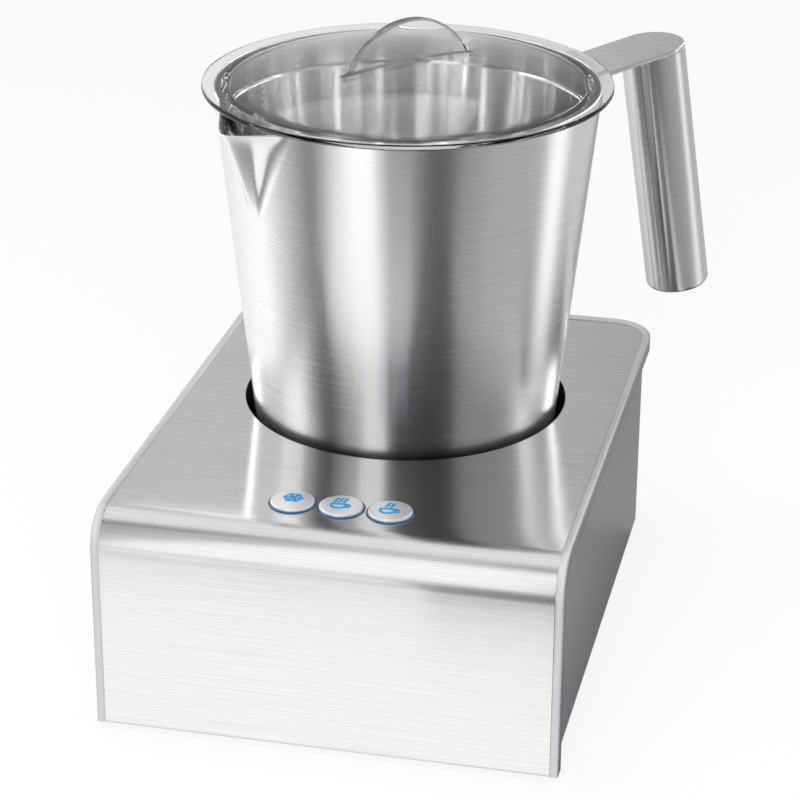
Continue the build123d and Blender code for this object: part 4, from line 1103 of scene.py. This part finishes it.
    def build(self, builder: Builder) -> None:
        """Make the cup."""
        builder.piece("jug_wall", [self.shell()], Body.JUG.value, "jug_steel", ["jug_body"], crease=60.0)


@dataclass
class Handle:
    """A flat strap from the rim to a round tube that leans out, closed by a cap."""

    azimuth: float = 48.0
    strap_z: float = 170.2
    strap_slope: float = 5.8
    strap_thick: float = 1.5
    strap_edge: float = 0.3
    tube_reach: float = 97.3
    tube_radius: float = 10.5
    tube_wall: float = 1.0
    tube_tilt: float = 10.6
    tube_bottom_z: float = 84.4
    cap_thick: float = 2.0
    cap_round: float = 1.2
    turn_steps: int = 128
    side_points: int = 20
    tip_steps: int = 64
    tube_rows: int = 33

    def outward(self) -> np.ndarray:
        """Level direction from the jug's axis to the tube."""
        angle = math.radians(self.azimuth)
        return np.array([math.cos(angle), math.sin(angle), 0.0])

    def strap_axes(self) -> np.ndarray:
        """The strap's axes: along it outwards, across it and up from its face.

        Returns:
            Three rows of unit directions.
        """
        slope = math.radians(self.strap_slope)
        along = self.outward() * math.cos(slope) + np.array([0.0, 0.0, math.sin(slope)])
        up = -self.outward() * math.sin(slope) + np.array([0.0, 0.0, math.cos(slope)])
        return np.stack([along, np.cross(up, along), up])

    def strap(self, jug: Jug) -> Patch:
        """The strap: an outline of two straight sides and a half round, carried down its edge.

        The edge section goes from the middle of the top face, round the edge and to the middle of
        the underside; its inner end follows the jug's wall.

        Args:
            jug: cup that carries the handle.

        Returns:
            The surface.
        """
        half = self.tube_radius
        edge = self.strap_edge
        thick = self.strap_thick
        inset = rounded([
            (half, -thick, 0.0), (0.0, -thick, edge), (0.0, 0.0, edge), (half, 0.0, 0.0),
        ])
        slope = math.radians(self.strap_slope)
        angle = np.linspace(-math.pi / 2, math.pi / 2, self.tip_steps + 1)[1:-1]
        side = np.ones(self.side_points)
        inwards = np.linspace(0.0, -1.0, self.side_points)
        spread = np.concatenate([-side, np.sin(angle), side])
        reach = np.concatenate([inwards[::-1], np.cos(angle), inwards])
        wall_z = self.strap_z - (self.tube_reach - jug.rim_radius) * math.tan(slope)
        wall_radius = float(jug.cone(np.array(wall_z))) - jug.wall / 2
        width = half - inset[:, 0, None]
        across = width * spread
        root = np.sqrt(np.maximum(0.0, wall_radius**2 - across**2)) - self.tube_reach
        root = root / math.cos(slope)
        along = np.where(reach < 0.0, -reach * root, width * np.maximum(reach, 0.0))
        height = np.broadcast_to(inset[:, 1, None], across.shape)
        origin = self.outward() * self.tube_reach + np.array([0.0, jug.axis_y, self.strap_z])
        patch = Patch(np.stack([along, across, height], axis=2), np.stack([along, across], axis=2))
        return moved(patch, self.strap_axes(), origin)

    def tube_frame(self, jug: Jug) -> tuple[np.ndarray, np.ndarray]:
        """The tube's axes and the middle of its lower end.

        Args:
            jug: cup that carries the handle.

        Returns:
            Three rows of unit directions, and the point.
        """
        tilt = math.radians(self.tube_tilt)
        up = -self.outward() * math.sin(tilt) + np.array([0.0, 0.0, math.cos(tilt)])
        across = np.cross(np.array([0.0, 0.0, 1.0]), self.outward())
        axes = np.stack([np.cross(across, up), across, up])
        drop = self.strap_z - self.tube_bottom_z
        reach = self.tube_reach + drop * math.tan(tilt)
        return axes, self.outward() * reach + np.array([0.0, jug.axis_y, self.tube_bottom_z])

    def tube(self, jug: Jug) -> Patch:
        """The tube's wall, cut at the top by the underside of the strap.

        Each line of the wall ends where it meets that plane, so its length depends on its angle.

        Args:
            jug: cup that carries the handle.

        Returns:
            The surface.
        """
        axes, foot = self.tube_frame(jug)
        normal = self.strap_axes()[2]
        plane = self.outward() * self.tube_reach + np.array([0.0, jug.axis_y, self.strap_z])
        plane = plane - normal * self.strap_thick
        turn = full_turn(self.turn_steps)
        outer = self.tube_radius
        inner = outer - self.tube_wall
        rise = np.linspace(0.0, 1.0, self.tube_rows)
        share = np.concatenate([rise, rise[::-1], [0.0]])
        radius = np.repeat([outer, inner, outer], [self.tube_rows, self.tube_rows, 1])[:, None]
        ring = radius[:, :, None] * (np.cos(turn)[:, None] * axes[0] + np.sin(turn)[:, None] * axes[1])
        start = foot + axes[2] * self.cap_thick + ring
        length = ((plane - start) @ normal) / float(axes[2] @ normal)
        points = start + (share[:, None] * length)[:, :, None] * axes[2]
        uv = np.stack(np.broadcast_arrays(turn * outer, share[:, None] * length), axis=2)
        return Patch(points, uv)

    def cap(self, jug: Jug) -> Patch:
        """The end cap: a disc with a rounded lower edge, turned about the tube's axis.

        Args:
            jug: cup that carries the handle.

        Returns:
            The surface.
        """
        axes, foot = self.tube_frame(jug)
        profile = rounded([
            (0.0, 0.0, 0.0),
            (self.tube_radius, 0.0, self.cap_round),
            (self.tube_radius, self.cap_thick, 0.0),
            (0.0, self.cap_thick, 0.0),
        ])
        return moved(turned(profile, full_turn(self.turn_steps)), axes, foot)

    def build(self, builder: Builder, jug: Jug) -> None:
        """Make the strap, the tube and its cap.

        Args:
            builder: maker of the pieces.
            jug: cup that carries the handle.
        """
        body = Body.JUG.value
        builder.piece("handle_strap_plate", [self.strap(jug)], body, "handle_steel", ["handle_strap"])
        builder.piece("handle_grip_tube", [self.tube(jug)], body, "handle_steel", ["handle_tube"])
        builder.piece("handle_tube_end", [self.cap(jug)], body, "handle_steel", ["handle_end_cap"])


@dataclass
class Lid:
    """The clear lid: flange on the rim, skirt inside the jug, dome and grip fin."""

    radius: float = 62.9
    flange: float = 1.7
    edge: float = 0.5
    skirt_radius: float = 56.9
    skirt_wall: float = 1.9
    dome_rise: float = 6.3
    plate: float = 1.8
    fin_azimuth: float = 48.0
    fin_radius: float = 24.5
    fin_thick: float = 3.0
    fin_edge: float = 0.9
    fin_bite: float = 0.4
    fin_row: float = 2.0
    fin_steps: int = 180
    seat_gap: float = 0.05
    skirt_round: float = 0.6
    seat_round: float = 0.4
    dome_step: float = 0.3
    dome_rows: int = 25
    turn_steps: int = 256

    def __post_init__(self) -> None:
        """Take the levels from the frame."""
        low, high = box_mm("lid")
        self.low_z = float(low[2])
        self.fin_top_z = float(high[2])
        self.rim_z = float(box_mm("jug_body")[1][2]) + self.seat_gap

    def dome(self, radius: np.ndarray) -> np.ndarray:
        """Height of the dome above the flange's top: a shallow cap of a sphere.

        Args:
            radius: distance from the axis.

        Returns:
            The height at each distance.
        """
        span = self.skirt_radius - self.skirt_wall
        sphere = (span**2 + self.dome_rise**2) / (2 * self.dome_rise)
        return np.sqrt(sphere**2 - np.minimum(radius, span) ** 2) - (sphere - self.dome_rise)

    def shell(self, axis_y: float) -> Patch:
        """Flange, skirt and dome as one turned profile.

        Args:
            axis_y: place of the jug's axis.

        Returns:
            The surface.
        """
        top = self.rim_z + self.flange
        inner = self.skirt_radius - self.skirt_wall
        spread = np.linspace(0.0, inner, self.dome_rows)
        under = np.stack([spread, top - self.plate + self.dome(spread)], axis=1)
        over = np.stack([spread, top + self.dome(spread)], axis=1)[::-1]
        rim = rounded([
            (inner, top - self.plate, 0.0),
            (inner, self.low_z, self.skirt_round),
            (self.skirt_radius, self.low_z, self.skirt_round),
            (self.skirt_radius, self.rim_z, self.seat_round),
            (self.radius, self.rim_z, self.edge),
            (self.radius, top, self.edge),
            (inner + self.dome_step, top, 0.0),
        ])
        profile = np.concatenate([under[:-1], rim, over])
        return moved(turned(profile, full_turn(self.turn_steps)), np.eye(3), (0.0, axis_y, 0.0))

    def fin(self, axis_y: float) -> Patch:
        """The grip fin: a disc on edge whose lower part ends just inside the dome.

        A round outline is carried over a section with rounded edges, and each point below the
        dome is lifted onto it.

        Args:
            axis_y: place of the jug's axis.

        Returns:
            The surface.
        """
        centre_z = self.fin_top_z - self.fin_radius
        half = self.fin_thick / 2
        section = rounded([
            (0.0, -half, 0.0), (self.fin_radius, -half, self.fin_edge),
            (self.fin_radius, half, self.fin_edge), (0.0, half, 0.0),
        ])
        section = resampled(section, self.fin_row)
        turn = full_turn(self.fin_steps)
        along = section[:, 0, None] * np.cos(turn)
        height = centre_z + section[:, 0, None] * np.sin(turn)
        floor = self.rim_z + self.flange + self.dome(np.abs(along)) - self.fin_bite
        height = np.maximum(height, floor)
        across = np.broadcast_to(section[:, 1, None], along.shape)
        angle = math.radians(self.fin_azimuth)
        out = np.array([math.cos(angle), math.sin(angle), 0.0])
        axes = np.stack([out, np.array([0.0, 0.0, 1.0]), np.array([out[1], -out[0], 0.0])])
        patch = Patch(np.stack([along, height, across], axis=2), np.stack([along, height], axis=2))
        return moved(patch, axes, (0.0, axis_y, 0.0))

    def build(self, builder: Builder, axis_y: float) -> None:
        """Make the lid and its fin.

        Args:
            builder: maker of the pieces.
            axis_y: place of the jug's axis.
        """
        body = Body.LID.value
        builder.piece("lid_clear", [self.shell(axis_y)], body, "clear_lid", ["lid"])
        builder.piece("lid_fin", [self.fin(axis_y)], body, "clear_lid")


@dataclass
class InnerWorks:
    """The CAD nodes that keep their own solids, with their finishes."""

    smooth: tuple[str, ...] = ("housing", "well_cup", "light_guide", "cord_gland", "rubber_feet")

    def build(self, builder: Builder) -> None:
        """Make smooth copies of the outer ones and give the others their materials.

        Args:
            builder: maker of the pieces.
        """
        slots = {part["node"]: part["material_slot"] for part in frame["record"]["subparts"]}
        for node in self.smooth:
            builder.copy(node, Body.BASE.value, slots[node])
        for name, obj in frame["nodes"].items():
            obj.data.materials.clear()
            obj.data.materials.append(builder.material(self.plain(builder.finishes[slots[name]])))

    def plain(self, finish: Finish) -> Finish:
        """A CAD node has no UV map, so brushed steel there is even in all directions.

        Args:
            finish: finish of the node's slot.

        Returns:
            The finish without brushing.
        """
        if isinstance(finish, BrushedSteel):
            return Finish(f"{finish.name}_even", finish.colour, finish.roughness, metallic=1.0)
        return finish


def seen_or_mirrored(tree: bpy.types.NodeTree) -> bpy.types.NodeSocket:
    """Tell rays that show the background from those that only carry light.

    Args:
        tree: node tree that gets the nodes.

    Returns:
        A socket that is 1 for camera, glossy and transmission rays, and otherwise 0.
    """
    path = add_node(tree, "ShaderNodeLightPath")
    seen = add_node(tree, "ShaderNodeMath", {"operation": "MAXIMUM"}, {
        0: path.outputs["Is Camera Ray"], 1: path.outputs["Is Glossy Ray"],
    })
    shown = add_node(tree, "ShaderNodeMath", {"operation": "MAXIMUM"}, {
        0: seen.outputs["Value"], 1: path.outputs["Is Transmission Ray"],
    })
    return shown.outputs["Value"]


def hang(name: str, patch: Patch, strength: float) -> tuple[bpy.types.Object, bpy.types.Node]:
    """Hang a reflector or flag that mirrors and clear parts see, but not the camera, shadows or diffuse
    light.

    Args:
        name: name of the card.
        patch: its surface.
        strength: its brightness, 1 for white and 0 for black.

    Returns:
        The card and the node that makes its light.
    """
    mesh = bpy.data.meshes.new(name)
    mesh.from_pydata((patch.points.reshape(-1, 3) * MM).tolist(), [], patch.faces(0).tolist())
    material = bpy.data.materials.new(name)
    material.use_nodes = True
    tree = material.node_tree
    tree.nodes.clear()
    light = add_node(tree, "ShaderNodeEmission", inputs={"Color": WHITE, "Strength": strength})
    add_node(tree, "ShaderNodeOutputMaterial", inputs={"Surface": light.outputs["Emission"]})
    mesh.materials.append(material)
    obj = bpy.data.objects.new(name, mesh)
    bpy.context.scene.collection.objects.link(obj)
    obj.visible_camera = False
    obj.visible_shadow = False
    obj.visible_diffuse = False
    return obj, light


@dataclass
class LightTent:
    """A round tent of light and dark cloth: a skirt on the floor, a wall and part of a roof.

    Each band is an angle from the front towards the right, in degrees, and the brightness there,
    and the cloth shades evenly from band to band.
    """

    bands: tuple[tuple[float, float], ...] = (
        (-180.0, 0.58),
        (-150.0, 0.88),
        (-125.0, 1.05),
        (-106.0, 1.25),
        (-86.0, 1.3),
        (-70.0, 0.8),
        (-58.0, 0.52),
        (-46.0, 0.26),
        (-36.0, 0.42),
        (-26.0, 0.82),
        (-19.0, 0.85),
        (-10.0, 0.52),
        (0.0, 0.34),
        (12.0, 0.29),
        (30.0, 0.14),
        (37.0, 0.14),
        (46.0, 0.34),
        (63.0, 0.48),
        (98.0, 0.56),
        (108.0, 1.4),
        (115.0, 1.4),
        (124.0, 0.72),
        (180.0, 0.58),
    )
    brightest: float = 2.0
    near: float = 150.0
    distance: float = 900.0
    high: float = 1300.0
    roof: float = 350.0
    skirt_height: float = 1.0
    turn_steps: int = 180

    def build(self, centre: np.ndarray) -> None:
        """Make the tent about a point and shade it round its axis.

        Args:
            centre: middle of the tent, in millimetres.
        """
        profile = np.array([
            (self.near, self.skirt_height),
            (self.distance, self.skirt_height),
            (self.distance, self.high),
            (self.roof, self.high),
        ])
        way = np.radians(np.linspace(-180.0, 180.0, self.turn_steps + 1))
        radius = profile[:, 0, None]
        height = np.broadcast_to(profile[:, 1, None], (len(profile), len(way)))
        points = np.stack([radius * np.sin(way), -radius * np.cos(way), height], axis=2)
        tent, light = hang("light_tent", Patch(points, points[..., :2]), self.brightest)
        tent.location = Vector((centre[0], centre[1], 0.0)) * MM
        tree = tent.data.materials[0].node_tree
        place = add_node(tree, "ShaderNodeTexCoord")
        to_front = add_node(tree, "ShaderNodeMapping", inputs={
            "Vector": place.outputs["Object"], "Rotation": (0.0, 0.0, math.pi / 2),
        })
        turn = add_node(tree, "ShaderNodeTexGradient", {"gradient_type": "RADIAL"}, {
            "Vector": to_front.outputs["Vector"],
        })
        ramp = add_node(tree, "ShaderNodeValToRGB", inputs={"Fac": turn.outputs["Fac"]})
        stops = ramp.color_ramp.elements
        for _ in range(len(self.bands) - len(stops)):
            stops.new(0.5)
        for stop, (angle_here, brightness) in zip(stops, self.bands):
            stop.position = 0.5 + angle_here / 360.0
            stop.color = (*[brightness / self.brightest] * 3, 1.0)
        tree.links.new(ramp.outputs["Color"], light.inputs["Color"])


@dataclass(frozen=True)
class Card:
    """An upright card on a circle round the object.

    Its angle is from the front towards the right and, like its width, in degrees.
    """

    name: str
    angle: float
    width: float
    low: float
    high: float
    strength: float


@dataclass(frozen=True)
class Mat:
    """A level card between two sides, each given by its Y and by the X of its left and right end."""

    name: str
    first_side: tuple[float, float, float]
    other_side: tuple[float, float, float]
    strength: float
    height: float = 1.5


@dataclass(frozen=True)
class Softbox:
    """A square lamp that faces the object; its light doesn't show in mirrors."""

    name: str
    place: tuple[float, float, float]
    side: float
    watts: float


@dataclass
class Studio:
    """Camera, floor and soft light."""

    place: tuple[float, float, float] = (170.956, -756.392, 419.606)
    yaw: float = 0.2202
    pitch: float = 0.4187
    roll: float = 0.0063
    focal_pixels: float = 2696.04
    floor_size: float = 6000.0
    world_level: float = 0.22
    floor_glow: float = 0.85
    floor_paper: str = "#f4f4f4"
    floor_bounce: str = "#808080"
    lens_near: float = 10.0
    lens_far: float = 50000.0
    # Soft light for the matt surfaces and the floor
    lamps: tuple[Softbox, ...] = (
        Softbox("front_softbox", (200.0, -1300.0, 600.0), 900.0, 22.0),
        Softbox("top_softbox", (-200.0, 100.0, 1400.0), 900.0, 10.0),
    )
    # What the base, the jug and the grip mirror below them, and the bend above it
    mats: tuple[Mat, ...] = (
        Mat("front_reflector", (-200.0, -150.0, 52.0), (-94.0, -130.0, 76.0), 1.65),
        Mat("middle_reflector", (-400.0, -185.0, -40.0), (-200.0, -150.0, 10.0), 1.15),
        Mat("far_reflector", (-850.0, -330.0, -100.0), (-400.0, -185.0, -40.0), 1.7),
        Mat("ceiling", (-400.0, -700.0, -40.0), (600.0, -700.0, -40.0), 1.35, 1280.0),
        Mat("side_flag", (-93.0, 60.0, 105.0), (70.0, 60.0, 105.0), 0.14),
        Mat("side_grey", (70.0, 60.0, 105.0), (300.0, 60.0, 105.0), 0.5),
        Mat("handle_flag", (30.0, 112.0, 190.0), (210.0, 112.0, 190.0), 0.03),
        Mat("back_flag", (105.0, -20.0, 60.0), (215.0, -20.0, 60.0), 0.03),
        Mat("grip_reflector", (-140.0, 95.0, 150.0), (-40.0, 108.0, 150.0), 0.8),
    )
    card_distance: float = 850.0
    card_steps: int = 8
    # Bright cards draw streaks on the steel, and dark flags the bands between them
    cards: tuple[Card, ...] = (
        Card("streak_card_right", 148.0, 10.0, 350.0, 900.0, 6.0),
        Card("streak_card_back", 166.0, 6.0, 350.0, 900.0, 6.0),
        Card("streak_card_left", -132.0, 9.0, 350.0, 900.0, 6.0),
        Card("fill_card_right", 158.0, 8.0, 350.0, 900.0, 2.5),
        Card("fill_card_left", -76.0, 22.0, 300.0, 900.0, 2.4),
        Card("side_card", 106.0, 8.0, 250.0, 900.0, 2.2),
        Card("ceiling_card", -164.0, 24.0, 710.0, 1290.0, 1.7),
        Card("left_flag", -46.0, 14.0, 250.0, 1000.0, 0.03),
        Card("front_card", -11.0, 18.0, 60.0, 1250.0, 1.7),
        Card("front_flag", 26.0, 44.0, 250.0, 1000.0, 0.02),
        Card("overhead_flag", 108.0, 55.0, 910.0, 1290.0, 0.04),
    )

    def camera(self) -> None:
        """Place the camera that was fitted to the photograph's edges."""
        data = bpy.data.cameras.new("photo_camera")
        data.sensor_fit = "HORIZONTAL"
        data.sensor_width = SENSOR_MM
        data.lens = self.focal_pixels * SENSOR_MM / IMAGE_PIXELS
        data.clip_start = self.lens_near * MM
        data.clip_end = self.lens_far * MM
        ahead = Vector((
            -math.sin(self.yaw) * math.cos(self.pitch),
            math.cos(self.yaw) * math.cos(self.pitch),
            -math.sin(self.pitch),
        ))
        right = Vector((math.cos(self.yaw), math.sin(self.yaw), 0.0))
        up = right.cross(ahead)
        side = right * math.cos(self.roll) + up * math.sin(self.roll)
        top = up * math.cos(self.roll) - right * math.sin(self.roll)
        obj = bpy.data.objects.new("photo_camera", data)
        turn = Matrix((side, top, -ahead)).transposed().to_4x4()
        obj.matrix_world = Matrix.Translation(Vector(self.place) * MM) @ turn
        bpy.context.scene.collection.objects.link(obj)
        bpy.context.scene.camera = obj

    def world(self) -> None:
        """White where the background is seen or mirrored, a soft even level for the light."""
        scene = bpy.context.scene
        scene.world = bpy.data.worlds.new("studio_world")
        scene.world.use_nodes = True
        tree = scene.world.node_tree
        tree.nodes.clear()
        shown = seen_or_mirrored(tree)
        soft = add_node(tree, "ShaderNodeBackground", inputs={"Color": WHITE, "Strength": self.world_level})
        white = add_node(tree, "ShaderNodeBackground", inputs={"Color": WHITE, "Strength": 1.0})
        both = add_node(tree, "ShaderNodeMixShader", inputs={
            0: shown, 1: soft.outputs["Background"], 2: white.outputs["Background"],
        })
        add_node(tree, "ShaderNodeOutputWorld", inputs={"Surface": both.outputs["Shader"]})

    def floor(self) -> None:
        """A plain white floor under the feet, which sends less light back than it shows."""
        half = self.floor_size / 2 * MM
        mesh = bpy.data.meshes.new("floor")
        mesh.from_pydata([(-half, -half, 0), (half, -half, 0), (half, half, 0), (-half, half, 0)],
                         [], [(0, 1, 2, 3)])
        material, tree, shader = Finish("white_paper_floor", self.floor_paper, 0.9).start()
        shown = seen_or_mirrored(tree)
        paper = add_node(tree, "ShaderNodeMix", {"data_type": "RGBA"}, {
            0: shown, 6: linear(self.floor_bounce), 7: linear(self.floor_paper),
        })
        tree.links.new(paper.outputs[2], shader.inputs["Base Color"])
        share = add_node(tree, "ShaderNodeMath", {"operation": "MULTIPLY"}, {
            0: shown, 1: self.floor_glow,
        })
        glow = add_node(tree, "ShaderNodeEmission", inputs={"Strength": 1.0})
        both = add_node(tree, "ShaderNodeMixShader", inputs={
            0: share.outputs["Value"], 1: shader.outputs["BSDF"], 2: glow.outputs["Emission"],
        })
        out = next(node for node in tree.nodes if node.type == "OUTPUT_MATERIAL")
        tree.links.new(both.outputs["Shader"], out.inputs["Surface"])
        mesh.materials.append(material)
        obj = bpy.data.objects.new("floor", mesh)
        bpy.context.scene.collection.objects.link(obj)

    def light(self, lamp: Softbox, centre: np.ndarray) -> None:
        """Hang one soft square lamp.

        Args:
            lamp: the lamp.
            centre: point that it faces.
        """
        data = bpy.data.lights.new(lamp.name, "AREA")
        data.size = lamp.side * MM
        data.energy = lamp.watts
        obj = bpy.data.objects.new(lamp.name, data)
        obj.location = Vector(lamp.place) * MM
        way = Vector(centre) - Vector(lamp.place)
        obj.rotation_euler = way.to_track_quat("-Z", "Y").to_euler()
        obj.visible_glossy = False
        bpy.context.scene.collection.objects.link(obj)

    def lay(self, mat: Mat) -> None:
        """Lay one level card.

        Args:
            mat: the card.
        """
        sides = (mat.first_side, mat.other_side)
        points = np.array([[(x, y, mat.height) for x in ends] for y, *ends in sides])
        hang(mat.name, Patch(points, points[..., :2]), mat.strength)

    def stand(self, card: Card, centre: np.ndarray) -> None:
        """Stand one card on its circle.

        Args:
            card: the card.
            centre: middle of the circle.
        """
        line = np.array([[self.card_distance, card.low], [self.card_distance, card.high]])
        half = card.width / 2
        spread = np.linspace(card.angle - half, card.angle + half, self.card_steps + 1)
        turn = np.radians(spread - 90.0)
        hang(card.name, moved(turned(line, turn), np.eye(3), (*centre[:2], 0.0)), card.strength)

    def build(self, centre: np.ndarray) -> None:
        """Set up the whole studio round the object.

        Args:
            centre: middle of the object, in millimetres.
        """
        bpy.context.scene.view_settings.view_transform = "Standard"
        self.camera()
        self.world()
        self.floor()
        for lamp in self.lamps:
            self.light(lamp, centre)
        LightTent().build(centre)
        for mat in self.mats:
            self.lay(mat)
        for card in self.cards:
            self.stand(card, centre)


def main() -> None:
    """Build the object and its studio."""
    logging.basicConfig(level=logging.INFO)
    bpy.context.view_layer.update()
    builder = Builder(FINISHES)
    CoverSheet().build(builder)
    for sign in Sign:
        PushButton(sign).build(builder)
    jug = Jug()
    jug.build(builder)
    Handle().build(builder, jug)
    Lid().build(builder, jug.axis_y)
    InnerWorks().build(builder)
    Studio().build(np.array([0.0, jug.axis_y, LIGHT_AIM_Z]))


if __name__ == "__main__":
    main()
